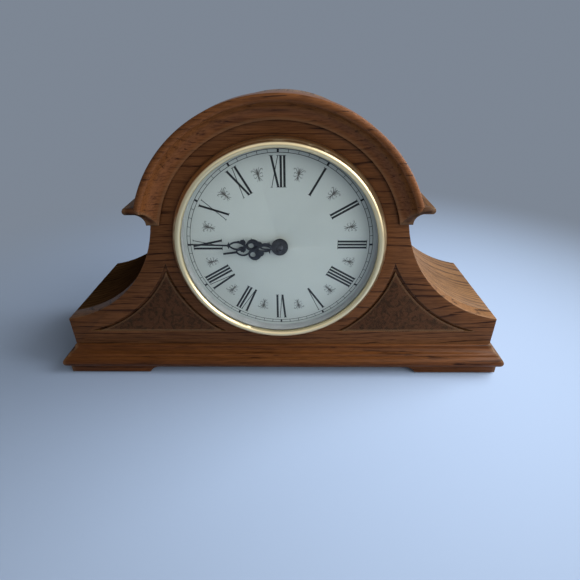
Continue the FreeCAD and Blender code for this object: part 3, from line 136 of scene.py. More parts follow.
def easedCopy(node, edge, smooth):
    workOn(nodes[node])
    bpy.ops.object.duplicate()
    piece = bpy.context.object
    bpy.ops.object.parent_clear(type="CLEAR_KEEP_TRANSFORM")
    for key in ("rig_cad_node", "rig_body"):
        if key in piece:
            del piece[key]
    bpy.ops.object.mode_set(mode="EDIT")
    bpy.ops.mesh.select_all(action="SELECT")
    bpy.ops.mesh.remove_doubles(threshold=easing["merge"])
    bpy.ops.mesh.dissolve_limited(angle_limit=math.radians(easing["flat"]))
    bpy.ops.object.mode_set(mode="OBJECT")
    if edge:
        addModifier(piece, "BEVEL", width=edge * mm, segments=easing["segments"], limit_method="ANGLE",
                    angle_limit=math.radians(easing["sharp"]))
    workOn(piece)
    bpy.ops.object.shade_smooth_by_angle(angle=math.radians(smooth))
    return piece


# a copy of a CAD node with its edges eased by so many mm takes the node's place
def dress(node, edge, material, smooth=easing["smooth"]):
    piece = easedCopy(node, edge, smooth)
    fit(piece, node + "_dressed", bodyOf[node], material)
    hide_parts(node)
    return piece


# helpers for materials

def setSocket(tree, socket, value):
    if isinstance(value, bpy.types.NodeSocket):
        tree.links.new(value, socket)
    else:
        socket.default_value = value


def addNode(tree, kind, sockets=None, **settings):
    node = tree.nodes.new("ShaderNode" + kind)
    for name, value in settings.items():
        setattr(node, name, value)
    for name, value in (sockets or {}).items():
        setSocket(tree, node.inputs[name], value)
    return node


def maths(tree, operation, first, second=0.0, clamp=False):
    return addNode(tree, "Math", {0: first, 1: second}, operation=operation, use_clamp=clamp).outputs[0]


def total(tree, first, *others):
    for other in others:
        first = maths(tree, "ADD", first, other)
    return first


# a noise that swings to both sides of zero
def swing(tree, value, share):
    return maths(tree, "MULTIPLY", maths(tree, "SUBTRACT", value, 0.5), share)


def blendOf(tree, share, first, second, kind="MIX"):
    node = addNode(tree, "Mix", data_type="RGBA", blend_type=kind)
    for name, value in (("Factor_Float", share), ("A_Color", first), ("B_Color", second)):
        socket = [s for s in node.inputs if s.identifier == name][0]
        setSocket(tree, socket, value)
    return [s for s in node.outputs if s.identifier == "Result_Color"][0]


def ramp(tree, value, low, high):
    node = addNode(tree, "MapRange", {"Value": value, "From Min": low, "From Max": high},
                   interpolation_type="SMOOTHSTEP")
    return node.outputs[0]


def stretched(tree, vector, x, y, z):
    node = addNode(tree, "VectorMath", {0: vector, 1: (x, y, z)}, operation="MULTIPLY")
    return node.outputs[0]


def noise(tree, vector, scale, detail=2.0, distortion=0.0):
    node = addNode(tree, "TexNoise", {
        "Vector": vector, "Scale": scale, "Detail": detail, "Distortion": distortion})
    return node.outputs["Fac"]


def newGroup(name, inputs, outputs):
    tree = bpy.data.node_groups.new(name, "ShaderNodeTree")
    for way, sockets in (("INPUT", inputs), ("OUTPUT", outputs)):
        for label, kind in sockets.items():
            tree.interface.new_socket(label, in_out=way, socket_type="NodeSocket" + kind)
    return tree, tree.nodes.new("NodeGroupInput").outputs, tree.nodes.new("NodeGroupOutput").inputs


def closeGroup(tree, out, results):
    for label, socket in results.items():
        tree.links.new(socket, out[label])
    return tree


# oak: growth rings round a pith line along X, each with a dark first line, open pores and fine fibres

# how fast each noise changes along and across the grain, per metre, and its detail
oakNoises = {
    "wander": (3.0, 13.0, 2.0),  # slow bends of the rings
    "uneven": (1.5, 60.0, 2.0),  # rings of unlike width
    "broken": (18.0, 300.0, 2.0),  # gaps in the dark lines
    "board": (2.2, 24.0, 3.0),  # broad bands
    "streak": (4.0, 210.0, 3.0),
    "fibre": (24.0, 540.0, 3.0),
    "pore": (75.0, 1150.0, 1.0),
}
# where the dark line starts and ends in a ring, and how much each noise counts
oakLook = {
    "lineStart": (0.0, 0.05), "lineEnd": (0.06, 0.26), "lineBroken": (0.38, 0.56), "lineHeight": 0.3,
    "pore": (0.51, 0.60), "poreAnywhere": 0.30, "poreDark": 0.8,
    "board": 0.5, "streak": 0.35, "fibreHeight": 0.3, "paleToDeep": (0.02, 0.80),
}


def oakGroup():
    tree, ask, out = newGroup("oakGrain", {
        "Place": "Vector", "Ring Width": "Float", "Wander": "Float", "Figure": "Float", "Uneven": "Float",
        "Steady": "Float", "Fibre": "Float", "Pale": "Color", "Deep": "Color", "Pore": "Color",
    }, {"Color": "Color", "Height": "Float", "Pores": "Float"})

    def grainNoise(name):
        along, across, detail = oakNoises[name]
        return noise(tree, stretched(tree, ask["Place"], along, across, across), 1.0, detail)

    parts = addNode(tree, "SeparateXYZ", {0: ask["Place"]}).outputs
    square = maths(tree, "ADD", maths(tree, "MULTIPLY", parts[1], parts[1]),
                   maths(tree, "MULTIPLY", parts[2], parts[2]))
    bend = swing(tree, grainNoise("wander"), ask["Wander"])
    radius = maths(tree, "ADD", maths(tree, "SQRT", square), bend)
    turns = maths(tree, "DIVIDE", radius, ask["Ring Width"])
    turns = maths(tree, "ADD", turns, maths(tree, "MULTIPLY", grainNoise("uneven"), ask["Uneven"]))
    phase = maths(tree, "FRACT", turns)
    line = maths(tree, "MULTIPLY", ramp(tree, phase, *oakLook["lineStart"]),
                 maths(tree, "SUBTRACT", 1.0, ramp(tree, phase, *oakLook["lineEnd"])))
    unbroken = ramp(tree, grainNoise("broken"), *oakLook["lineBroken"])
    line = maths(tree, "MULTIPLY", line, maths(tree, "MAXIMUM", unbroken, ask["Steady"]))
    pore = ramp(tree, grainNoise("pore"), *oakLook["pore"])
    pore = maths(tree, "MULTIPLY", pore, maths(tree, "ADD", oakLook["poreAnywhere"], line, clamp=True))
    fibre = grainNoise("fibre")
    depth = total(tree, maths(tree, "MULTIPLY", line, ask["Figure"]),
                  maths(tree, "MULTIPLY", grainNoise("board"), oakLook["board"]),
                  swing(tree, grainNoise("streak"), oakLook["streak"]),
                  swing(tree, fibre, ask["Fibre"]))
    colour = blendOf(tree, ramp(tree, depth, *oakLook["paleToDeep"]), ask["Pale"], ask["Deep"])
    colour = blendOf(tree, maths(tree, "MULTIPLY", pore, oakLook["poreDark"]), colour, ask["Pore"])
    height = maths(tree, "SUBTRACT", maths(tree, "MULTIPLY", fibre, oakLook["fibreHeight"]), pore)
    height = maths(tree, "SUBTRACT", height, maths(tree, "MULTIPLY", line, oakLook["lineHeight"]))
    return closeGroup(tree, out, {"Color": colour, "Height": height, "Pores": pore})


# burl: swirled grain with small eyes
burlLook = {
    "swirl": (88.0, 3.0, 2.2), "fine": (420.0, 3.0, 1.0),  # scale, detail and distortion
    "eyes": 150.0, "eyeSize": (0.05, 0.42), "swirlShare": 0.9, "fineShare": 0.25, "eyeShare": 0.12,
    "deepToPale": (0.42, 0.66),
}


def burlGroup():
    tree, ask, out = newGroup("burlFigure", {"Place": "Vector", "Pale": "Color", "Deep": "Color"},
                              {"Color": "Color", "Height": "Float"})
    eyes = addNode(tree, "TexVoronoi", {"Vector": ask["Place"], "Scale": burlLook["eyes"]}, feature="F1")
    eye = maths(tree, "SUBTRACT", 1.0, ramp(tree, eyes.outputs["Distance"], *burlLook["eyeSize"]))
    swirl = noise(tree, ask["Place"], *burlLook["swirl"])
    fine = noise(tree, ask["Place"], *burlLook["fine"])
    tone = maths(tree, "ADD", maths(tree, "MULTIPLY", swirl, burlLook["swirlShare"]),
                 maths(tree, "MULTIPLY", fine, burlLook["fineShare"]))
    tone = maths(tree, "SUBTRACT", tone, maths(tree, "MULTIPLY", eye, burlLook["eyeShare"]))
    colour = blendOf(tree, ramp(tree, tone, *burlLook["deepToPale"]), ask["Deep"], ask["Pale"])
    return closeGroup(tree, out, {"Color": colour, "Height": tone})


# soft blotches that break up an even gloss
smudgeLook = {"detail": 4.0, "blotch": (0.35, 0.68)}


def smudgeGroup():
    tree, ask, out = newGroup("smudges", {
        "Place": "Vector", "Scale": "Float", "Low": "Float", "High": "Float",
    }, {"Roughness": "Float", "Mask": "Float"})
    mask = ramp(tree, noise(tree, ask["Place"], ask["Scale"], smudgeLook["detail"]), *smudgeLook["blotch"])
    span = maths(tree, "SUBTRACT", ask["High"], ask["Low"])
    rough = maths(tree, "ADD", ask["Low"], maths(tree, "MULTIPLY", mask, span))
    return closeGroup(tree, out, {"Roughness": rough, "Mask": mask})


# how deep a spot lies in a quirk, where painted shade and stain darken it, and how near it is to an edge,
# where wear and a painted highlight pale it
shadeAndWearLook = {"quirk": (0.74, 0.32), "edge": (0.72, 0.35), "samples": 6}


def shadeAndWearGroup():
    tree, ask, out = newGroup("shadeAndWear", {"Reach": "Float", "Edge Reach": "Float"},
                              {"Quirk": "Float", "Edge": "Float"})
    quirk = addNode(tree, "AmbientOcclusion", {"Distance": ask["Reach"]}, samples=shadeAndWearLook["samples"])
    edge = addNode(tree, "AmbientOcclusion", {"Distance": ask["Edge Reach"]}, samples=shadeAndWearLook["samples"],
                   inside=True, only_local=True)
    return closeGroup(tree, out, {"Quirk": ramp(tree, quirk.outputs["AO"], *shadeAndWearLook["quirk"]),
                                  "Edge": ramp(tree, edge.outputs["AO"], *shadeAndWearLook["edge"])})


groups = {"oak": oakGroup(), "burl": burlGroup(), "smudges": smudgeGroup(), "shadeAndWear": shadeAndWearGroup()}


def useGroup(tree, name, sockets):
    node = addNode(tree, "Group", node_tree=groups[name])
    for label, value in sockets.items():
        setSocket(tree, node.inputs[label], value)
    return node.outputs


def newMaterial(name, **principled):
    material = bpy.data.materials.new(name)
    material.use_nodes = True
    shader = material.node_tree.nodes["Principled BSDF"]
    for label, value in principled.items():
        shader.inputs[label].default_value = value
    return material, material.node_tree, shader


def objectPlace(tree, location=(0, 0, 0), rotation=(0, 0, 0), scale=(1, 1, 1)):
    source = addNode(tree, "TexCoord").outputs["Object"]
    mapping = addNode(tree, "Mapping", {
        "Vector": source, "Location": location, "Rotation": rotation, "Scale": scale})
    return mapping.outputs[0]


def bumpFrom(tree, shader, height, strength, distance):
    bump = addNode(tree, "Bump", {"Height": height, "Strength": strength, "Distance": distance})
    tree.links.new(bump.outputs[0], shader.inputs["Normal"])


def scaled(colour, share):
    shares = share if isinstance(share, tuple) else (share,) * 3
    return tuple(channel * part for channel, part in zip(colour, shares)) + (1,)


# painted shade and dark stain in the quirks, wear and a painted highlight as pale wood at the edges
def stainShadeAndWear(tree, colour, shadeAndWear, stainAndShadeShare, wornAndLit):
    colour = blendOf(tree, maths(tree, "MULTIPLY", shadeAndWear["Quirk"], stainAndShadeShare), colour, oakColours["stainAndShade"])
    return blendOf(tree, maths(tree, "MULTIPLY", shadeAndWear["Edge"], wornAndLit), colour, oakColours["wornAndLit"])


# which way the grain runs: the turn that brings it onto X
grainTurns = {"x": (0, 0, 0), "y": (0, 0, -math.pi / 2), "z": (0, math.pi / 2, 0)}
oakColours = {
    "pale": (0.148, 0.061, 0.0235, 1),
    "deep": (0.040, 0.0145, 0.0052, 1),
    "pore": (0.012, 0.0035, 0.001, 1),
    # the quirks' dark colour is stain and painted shade; the pale edge colour is wear and a painted
    # highlight
    "stainAndShade": (0.012, 0.004, 0.0012, 1),
    "wornAndLit": (0.230, 0.130, 0.065, 1),
}
oakFinish = {"coatRough": 0.22, "stainAndShadeShare": 0.65, "wornAndLit": 0.45, "edgeReach": 0.0035, "poreRough": 0.2,
             "gloss": {"Scale": 30.0, "Low": 0.40, "High": 0.52}, "bump": (0.35, 0.00012)}
# painted light: the faces that look up and toward the window's side are painted paler, as if lit from
# there
paintedLight = {"from": (0.45, -0.1, 0.88), "facing": (0.25, 0.92), "fade": (1.7, 2.05, 2.1, 1)}


def oakMaterial(name, cut):
    material, tree, shader = newMaterial("oak_" + name, **{
        "Specular IOR Level": cut["coat"], "Coat Weight": cut["coat"],
        "Coat Roughness": oakFinish["coatRough"]})
    place = objectPlace(tree, cut["pith"], grainTurns[cut["grain"]], cut["scale"])
    oak = useGroup(tree, "oak", {
        "Place": place, "Ring Width": cut["ring"], "Wander": cut["wander"], "Figure": cut["figure"],
        "Uneven": cut["uneven"], "Steady": cut["steady"], "Fibre": cut["fibre"],
        "Pale": scaled(oakColours["pale"], cut["tone"]), "Deep": scaled(oakColours["deep"], cut["tone"]),
        "Pore": scaled(oakColours["pore"], cut["tone"])})
    # painted shade and stain in the quirks, wear and a painted highlight at the edges
    shadeAndWear = useGroup(tree, "shadeAndWear", {"Reach": cut["reach"], "Edge Reach": oakFinish["edgeReach"]})
    wornAndLit = stainShadeAndWear(tree, oak["Color"], shadeAndWear, oakFinish["stainAndShadeShare"], oakFinish["wornAndLit"])
    # painted light: paler colour on faces that turn toward the lamps on the right
    normal = addNode(tree, "TexCoord").outputs["Normal"]
    facing = addNode(tree, "VectorMath", {0: normal, 1: paintedLight["from"]}, operation="DOT_PRODUCT")
    share = maths(tree, "MULTIPLY", ramp(tree, facing.outputs["Value"], *paintedLight["facing"]), cut["litShare"])
    paintedLit = blendOf(tree, share, wornAndLit, paintedLight["fade"], "MULTIPLY")
    tree.links.new(paintedLit, shader.inputs["Base Color"])
    gloss = useGroup(tree, "smudges", {"Place": place, **oakFinish["gloss"]})
    rough = maths(tree, "ADD", gloss["Roughness"],
                  maths(tree, "MULTIPLY", oak["Pores"], oakFinish["poreRough"]))
    tree.links.new(rough, shader.inputs["Roughness"])
    bumpFrom(tree, shader, oak["Height"], *oakFinish["bump"])
    return material


# the burl's pale edge is a painted highlight along its groove; its quirk darkening is stain and painted
# shade
burlFinish = {"pale": (0.050, 0.0165, 0.0072, 1), "deep": (0.008, 0.0022, 0.0010, 1),
              "stainAndShadeShare": 0.7, "wornAndLit": 0.6, "reach": 0.0025, "bump": (0.2, 0.0001)}


def burlMaterial():
    material, tree, shader = newMaterial("burl", **{
        "Roughness": 0.45, "Specular IOR Level": 0.04, "Coat Weight": 0.06, "Coat Roughness": 0.25})
    burl = useGroup(tree, "burl", {
        "Place": objectPlace(tree), "Pale": burlFinish["pale"], "Deep": burlFinish["deep"]})
    shadeAndWear = useGroup(tree, "shadeAndWear", {"Reach": burlFinish["reach"], "Edge Reach": burlFinish["reach"]})
    wornAndLit = stainShadeAndWear(tree, burl["Color"], shadeAndWear, burlFinish["stainAndShadeShare"], burlFinish["wornAndLit"])
    tree.links.new(wornAndLit, shader.inputs["Base Color"])
    bumpFrom(tree, shader, burl["Height"], *burlFinish["bump"])
    return material


fineBump = {"scale": 1400.0, "depth": 0.00005}


# roughness from low to high in blotches, which also darken the colour by the tint
def smudgedMaterial(name, colour, low, high, scale=60.0, tint=0.12, bump=0.0, **principled):
    material, tree, shader = newMaterial(name, **principled)
    place = objectPlace(tree)
    smudges = useGroup(tree, "smudges", {"Place": place, "Scale": scale, "Low": low, "High": high})
    tree.links.new(smudges["Roughness"], shader.inputs["Roughness"])
    base = blendOf(tree, smudges["Mask"], colour, scaled(colour, 1.0 - tint))
    tree.links.new(base, shader.inputs["Base Color"])
    if bump:
        bumpFrom(tree, shader, noise(tree, place, fineBump["scale"]), bump, fineBump["depth"])
    return material


# turned brass: fine rings round the dial's axis, with painted shade where it meets the wood
bezelLook = {
    "colour": (0.97, 0.77, 0.44, 1), "tint": 0.06, "smudges": {"Scale": 16.0, "Low": 0.28, "High": 0.34},
    "junctionShade": (0.10, 0.065, 0.035, 1), "junctionShadeReach": 0.008, "rings": 2600.0, "bump": (0.08, 0.00004),
}


def bezelMaterial():
    material, tree, shader = newMaterial("bezel_brass", Metallic=1.0)
    place = objectPlace(tree, location=(0, 0, -dialCentre.z))
    smudges = useGroup(tree, "smudges", {"Place": place, **bezelLook["smudges"]})
    tree.links.new(smudges["Roughness"], shader.inputs["Roughness"])
    base = blendOf(tree, smudges["Mask"], bezelLook["colour"],
                   scaled(bezelLook["colour"], 1.0 - bezelLook["tint"]))
    # painted shade: darker where the brass meets the wood
    shadeAndWear = useGroup(tree, "shadeAndWear", {"Reach": bezelLook["junctionShadeReach"]})
    junctionShaded = blendOf(tree, shadeAndWear["Quirk"], base, bezelLook["junctionShade"])
    tree.links.new(junctionShaded, shader.inputs["Base Color"])
    flat = stretched(tree, place, 1.0, 0.0, 1.0)
    length = addNode(tree, "VectorMath", {0: flat}, operation="LENGTH").outputs["Value"]
    line = addNode(tree, "CombineXYZ", {0: length})
    bumpFrom(tree, shader, noise(tree, line.outputs[0], bezelLook["rings"]), *bezelLook["bump"])
    return material


# clear glass that lets the lamps through to the dial
def glassMaterial():
    material, tree, shader = newMaterial("glass", **{
        "Base Color": (0.97, 0.985, 0.98, 1), "Roughness": 0.02, "IOR": 1.28, "Transmission Weight": 1.0})
    rays = addNode(tree, "LightPath")
    clear = addNode(tree, "BsdfTransparent", {"Color": (0.96, 0.98, 0.97, 1)})
    mix = addNode(tree, "MixShader", {
        0: rays.outputs["Is Shadow Ray"], 1: shader.outputs[0], 2: clear.outputs[0]})
    tree.links.new(mix.outputs[0], tree.nodes["Material Output"].inputs["Surface"])
    return material


finishes = {
    "burl": burlMaterial(),
    "glass": glassMaterial(),
    "bezelBrass": bezelMaterial(),
    "brass": smudgedMaterial("turned_brass", (0.74, 0.53, 0.24, 1), 0.20, 0.34, Metallic=1.0),
    "steel": smudgedMaterial("plated_steel", (0.50, 0.50, 0.49, 1), 0.32, 0.38, 25.0, 0.05, Metallic=1.0),
    "sightRing": smudgedMaterial("satin_ring", (0.44, 0.44, 0.44, 1), 0.34, 0.44, Metallic=0.3),
    "dial": smudgedMaterial("dial_face", (0.43, 0.465, 0.442, 1), 0.38, 0.5, 25.0, 0.05, 0.15),
    "ink": smudgedMaterial("dial_ink", (0.006, 0.006, 0.007, 1), 0.5, 0.6, 90.0, 0.2,
                           **{"Specular IOR Level": 0.2}),
    "sprigInk": smudgedMaterial("sprig_ink", (0.060, 0.058, 0.050, 1), 0.4, 0.55, 90.0, 0.2),
    "handBlack": smudgedMaterial("hand_black", (0.008, 0.009, 0.013, 1), 0.32, 0.45, 120.0, 0.3,
                                 **{"Specular IOR Level": 0.25}),
    "plastic": smudgedMaterial("black_plastic", (0.022, 0.022, 0.024, 1), 0.45, 0.6, 70.0, 0.2, 0.3),
    "gearPlastic": smudgedMaterial("gear_plastic", (0.62, 0.61, 0.55, 1), 0.3, 0.45, 80.0, 0.1),
    "laminate": smudgedMaterial("board_laminate", (0.035, 0.16, 0.06, 1), 0.3, 0.45, 90.0, 0.3),
    "cell": smudgedMaterial("cell_sleeve", (0.05, 0.05, 0.055, 1), 0.25, 0.4, 60.0, 0.2),
    "rubber": smudgedMaterial("rubber", (0.02, 0.02, 0.02, 1), 0.7, 0.85, 60.0, 0.2),
    "felt": smudgedMaterial("felt", (0.03, 0.10, 0.05, 1), 0.9, 1.0, 900.0, 0.4, 1.0),
    "cone": smudgedMaterial("cone_paper", (0.03, 0.03, 0.032, 1), 0.7, 0.85, 200.0, 0.4, 0.6),
    "ferrite": smudgedMaterial("ferrite", (0.045, 0.045, 0.05, 1), 0.5, 0.65, 120.0, 0.2, 0.3),
    "lead": smudgedMaterial("lead_sleeve", (0.02, 0.02, 0.022, 1), 0.4, 0.5, 60.0, 0.2),
}
print("materials: %d" % len(finishes))


# wooden case: how each board is cut, stained, toned and polished, with its pith line and ring width in
# metres; the left boards' darker tones are painted shade, and the right boards' paler tones and larger
# shares of paler faces are painted light
usualCut = dict(grain="x", wander=0.03, tone=1.0, figure=0.5, uneven=2.5, steady=0.0, fibre=1.2,
                reach=0.0035, coat=0.12, litShare=1.0, scale=(1, 1, 1))
boards = {
    # the front panel's wide quirk reach paints shade round the bezel and under the hood
    "front_panel": dict(pith=(0.3, -0.06, -0.46), ring=0.0078, wander=0.06, tone=(1.06, 0.99, 0.9),
                        figure=0.65, fibre=0.9, reach=0.012, coat=0.07),
    "arch_moulding": dict(pith=(0.13, -0.04, -0.50), ring=0.0060, tone=(1.38, 1.20, 0.95), figure=0.2,
                          fibre=1.0, coat=0.10, litShare=0.2),
    # toned darker than the right impost: painted shade
    "left_impost_front": dict(pith=(0.3, -0.10, -0.30), ring=0.0055, tone=(0.50, 0.43, 0.40), fibre=0.8,
                              coat=0.06, litShare=0.2),
    "right_impost_front": dict(pith=(0.9, -0.11, -0.31), ring=0.0055, tone=0.62, fibre=0.8, litShare=0.5),
    "left_impost_return": dict(grain="y", pith=(0.1, 0.2, -0.16), ring=0.0055, tone=0.9),
    "right_impost_return": dict(grain="y", pith=(0.4, -0.2, -0.17), ring=0.0055, tone=0.9),
    "arched_shell": dict(grain="y", pith=(0.0, 0.0, -0.12), ring=0.0060, figure=0.38),
    # toned dark: painted shade on the side away from the lamps
    "left_shoulder": dict(pith=(0.2, -0.35, -0.02), ring=0.0062, wander=0.07, tone=0.62, uneven=1.0,
                          steady=0.8, scale=(1, 1, 0.2), coat=0.0),
    # toned paler than the left shoulder: painted light
    "right_shoulder": dict(pith=(0.6, -0.37, -0.02), ring=0.0078, wander=0.08, tone=(1.08, 1.06, 0.94),
                           figure=1.5, uneven=1.0, steady=0.85, scale=(1, 1, 0.2)),
    # toned darker than the right end: painted shade
    "left_end": dict(grain="y", pith=(0.2, 0.35, -0.02), ring=0.0060, tone=0.85, coat=0.04),
    "right_end": dict(grain="y", pith=(0.7, -0.35, -0.02), ring=0.0060, tone=1.05, figure=0.4),
    "front_base_moulding": dict(pith=(0.5, -0.08, 0.24), ring=0.0065, tone=(0.86, 0.67, 0.46), figure=0.32,
                                fibre=0.9, coat=0.06, litShare=0.3),
    # toned darker than the right base moulding: painted shade
    "left_base_moulding": dict(grain="y", pith=(0.3, 0.30, 0.05), ring=0.0060, tone=(0.9, 0.8, 0.7),
                               coat=0.04, litShare=0.3),
    "right_base_moulding": dict(grain="y", pith=(0.8, -0.30, 0.05), ring=0.0060, figure=0.4, litShare=0.5),
    "back_frame": dict(pith=(0.1, -0.12, -0.10), ring=0.0060, tone=1.1),
    "rear_base_rail": dict(pith=(0.4, -0.10, 0.05), ring=0.0048, tone=1.1),
    "rear_door": dict(grain="z", pith=(0.0, -0.15, -0.06), ring=0.0060, tone=1.2),
    "base_board": dict(pith=(0.0, 0.0, -0.10), ring=0.0070),
    "corner_blocks": dict(grain="z", pith=(0.0, 0.1, 0.05), ring=0.0060),
}
plywood = ("back_frame", "rear_base_rail", "rear_door", "base_board", "corner_blocks")
sawnEdge = 0.35  # mm, a light rounding of every sawn edge
burlEdge = 0.5

for board, cut in boards.items():
    slot = "plywood" if board in plywood else "oak"
    dress(board, sawnEdge, oakMaterial(board, {**usualCut, **cut}))
for side in ("left", "right"):
    dress(side + "_spandrel", burlEdge, finishes["burl"])
print("case: %d boards" % len(boards))


# dial, glass and bezel: eased edge in mm, slot, finish and smoothing angle
dialPieces = {
    "bezel": (0.12, "brass", "bezelBrass", 40),
    "glass": (0.0, "glass", "glass", 40),
    "sight_ring": (0.15, "card_ring", "sightRing", 40),
    "dial_plate": (0.1, "dial_metal", "dial", 35),
}
for node, (edge, slot, finish, smooth) in dialPieces.items():
    dress(node, edge, finishes[finish], smooth)

# the dial's print, in mm from its centre
track = {"inner": 86.25, "outer": 89.8, "line": 0.5, "tick": 0.45, "square": (1.9, 3.3), "steps": 240}
numeral = {"foot": 55.8, "tall": 28.2, "thick": 2.05, "thin": 0.66, "serif": 0.75, "serifTall": 0.42,
           "barStep": 3.15, "veeWide": 5.6, "veeFoot": 0.4, "exWide": 6.0, "gap": 0.7}
printRaise = 0.05  # mm that the print stands proud of the dial


# a flat stroke on the dial's plane, sheared so that both its ends stay level
def stroke(footX, footZ, headX, headZ, width):
    middle = (footZ + headZ) / 2 * mm
    bpy.ops.mesh.primitive_plane_add(size=1.0, rotation=(math.pi / 2, 0, 0),
                                     location=(footX * mm, 0, middle))
    bar = bpy.context.object
    bar.scale = (width * mm, (headZ - footZ) * mm, 1)
    settle(bar)
    bpy.ops.object.mode_set(mode="EDIT")
    bpy.ops.mesh.select_all(action="DESELECT")
    mesh = bmesh.from_edit_mesh(bar.data)
    for vertex in mesh.verts:
        vertex.select = vertex.co.z > middle
    mesh.select_flush_mode()
    bmesh.update_edit_mesh(bar.data)
    bpy.ops.transform.translate(value=((headX - footX) * mm, 0, 0))
    bpy.ops.object.mode_set(mode="OBJECT")
    return bar


def serifs(places):
    tall = numeral["serifTall"]
    return [stroke(x, z, x, z + tall, wide + numeral["serif"] * 2) for x, z, wide in places]


def glyph(letter):
    tall, thick, thin = numeral["tall"], numeral["thick"], numeral["thin"]
    top = tall - numeral["serifTall"]
    if letter == "I":
        strokes = [stroke(0, 0, 0, tall, thick)] + serifs([(0, 0, thick), (0, top, thick)])
    if letter == "V":
        half = numeral["veeWide"] / 2
        strokes = [stroke(0, 0, -half, tall, thick), stroke(numeral["veeFoot"], 0, half, tall, thin)]
        strokes += serifs([(-half, top, thick), (half, top, thin)])
    if letter == "X":
        half = numeral["exWide"] / 2
        strokes = [stroke(half, 0, -half, tall, thick), stroke(-half, 0, half, tall, thin)]
        strokes += serifs([(-half, top, thick), (half, top, thin), (half, 0, thick), (-half, 0, thin)])
    return joined(strokes, "glyph_" + letter)


glyphs = {letter: glyph(letter) for letter in "IVX"}
sideGap = numeral["gap"] + numeral["thick"] / 2
glyphWide = {"I": numeral["barStep"], "V": numeral["veeWide"] + sideGap, "X": numeral["exWide"] + sideGap}
hours = ["XII", "I", "II", "III", "IIII", "V", "VI", "VII", "VIII", "IX", "X", "XI"]


def turnAboutDial(piece, angle):
    piece.rotation_euler = (0, angle, 0)
    settle(piece)


def printOnDial(piece, name, ink):
    piece.location = dialCentre
    settle(piece)
    fit(piece, name, "case", ink)


# flat print becomes a thin skin that stands a hair proud of the dial
def thicken(piece):
    workOn(piece)
    bpy.ops.object.mode_set(mode="EDIT")
    bpy.ops.mesh.select_all(action="SELECT")
    bpy.ops.mesh.extrude_region_move(TRANSFORM_OT_translate={"value": (0, -printRaise * mm, 0)})
    bpy.ops.mesh.select_all(action="SELECT")
    bpy.ops.mesh.normals_make_consistent(inside=False)
    bpy.ops.object.mode_set(mode="OBJECT")


letters = []
for hour, word in enumerate(hours):
    x = -sum(glyphWide[letter] for letter in word) / 2
    for letter in word:
        x += glyphWide[letter] / 2
        copy = copyOf(glyphs[letter], place=(x * mm, 0, numeral["foot"] * mm))
        turnAboutDial(copy, hour * math.pi / 6)
        letters.append(copy)
        x += glyphWide[letter] / 2
numerals = joined(letters, "numerals")
thicken(numerals)
printOnDial(numerals, "numerals", finishes["ink"])
for letter in glyphs.values():
    remove(letter)


def flatRing(radius, width):
    bpy.ops.mesh.primitive_circle_add(vertices=track["steps"], radius=radius * mm,
                                      rotation=(math.pi / 2, 0, 0))
    ring = bpy.context.object
    settle(ring)
    bpy.ops.object.mode_set(mode="EDIT")
    bpy.ops.mesh.select_all(action="SELECT")
    bpy.ops.mesh.extrude_edges_move()
    share = (radius - width) / radius
    bpy.ops.transform.resize(value=(share, share, share))
    bpy.ops.object.mode_set(mode="OBJECT")
    return ring


marks = [flatRing(track["outer"], track["line"]), flatRing(track["inner"] + track["line"], track["line"])]
for minute in range(60):
    if minute % 5 == 0:
        wide, tall = track["square"]
        low = (track["inner"] + track["outer"] - tall) / 2
        mark = stroke(0, low, 0, low + tall, wide)
    else:
        mark = stroke(0, track["inner"], 0, track["outer"], track["tick"])
    turnAboutDial(mark, minute * math.pi / 30)
    marks.append(mark)
minuteTrack = joined(marks, "minute_track")
thicken(minuteTrack)
printOnDial(minuteTrack, "minute_track", finishes["ink"])
print("dial: numerals and minute track")

# a small scroll sprig between the hours: stem, bud, and pairs of curls to both sides, in mm
sprig = {"radius": 69.8, "line": 0.19, "flat": 0.3, "bud": 0.9, "budShape": (0.9, 1.0, 1.7), "budSides": 8,
         "budRings": 6, "curlSteps": 3}
# each curl's points and how much thicker it starts than it ends
curls = [
    ([(0.0, -6.2), (0.25, -3.4), (0.1, -0.8), (0.0, 1.2)], 1.6),
    ([(0.0, 0.0), (0.35, 2.2), (0.3, 4.2), (0.0, 5.4)], 1.8),
    ([(0.1, 0.4), (1.1, 2.6), (1.6, 4.8), (2.6, 6.0)], 1.6),
    ([(0.3, 0.2), (2.0, 2.0), (3.0, 3.8), (4.8, 4.6), (5.4, 3.4), (4.6, 2.8)], 1.8),
    ([(0.2, -0.2), (1.9, 0.1), (3.2, 1.0), (4.2, 0.5), (3.8, -0.4)], 1.4),
    ([(0.1, -1.2), (1.5, -1.8), (2.9, -3.0), (4.0, -2.6), (3.8, -1.6)], 1.4),
    ([(0.1, -2.2), (1.0, -3.6), (1.5, -5.4), (2.4, -6.2)], 1.4),
]


def scroll(points, weight, side):
    bpy.ops.curve.primitive_nurbs_path_add()
    path = bpy.context.object
    path.data.splines.clear()
    spline = path.data.splines.new("NURBS")
    spline.points.add(len(points) - 1)
    for index, (point, (x, z)) in enumerate(zip(spline.points, points)):
        point.co = (x * side * mm, 0, z * mm, 1)
        share = index / (len(points) - 1)
        point.radius = 1.0 + (weight - 1.0) * (1.0 - share)
    spline.order_u = 3
    spline.use_endpoint_u = True
    spline.resolution_u = sprig["curlSteps"]
    path.data.bevel_depth = sprig["line"] * mm
    path.data.bevel_resolution = 0
    path.data.use_fill_caps = True
    workOn(path)
    bpy.ops.object.convert(target="MESH")
    settle(path)
    return path


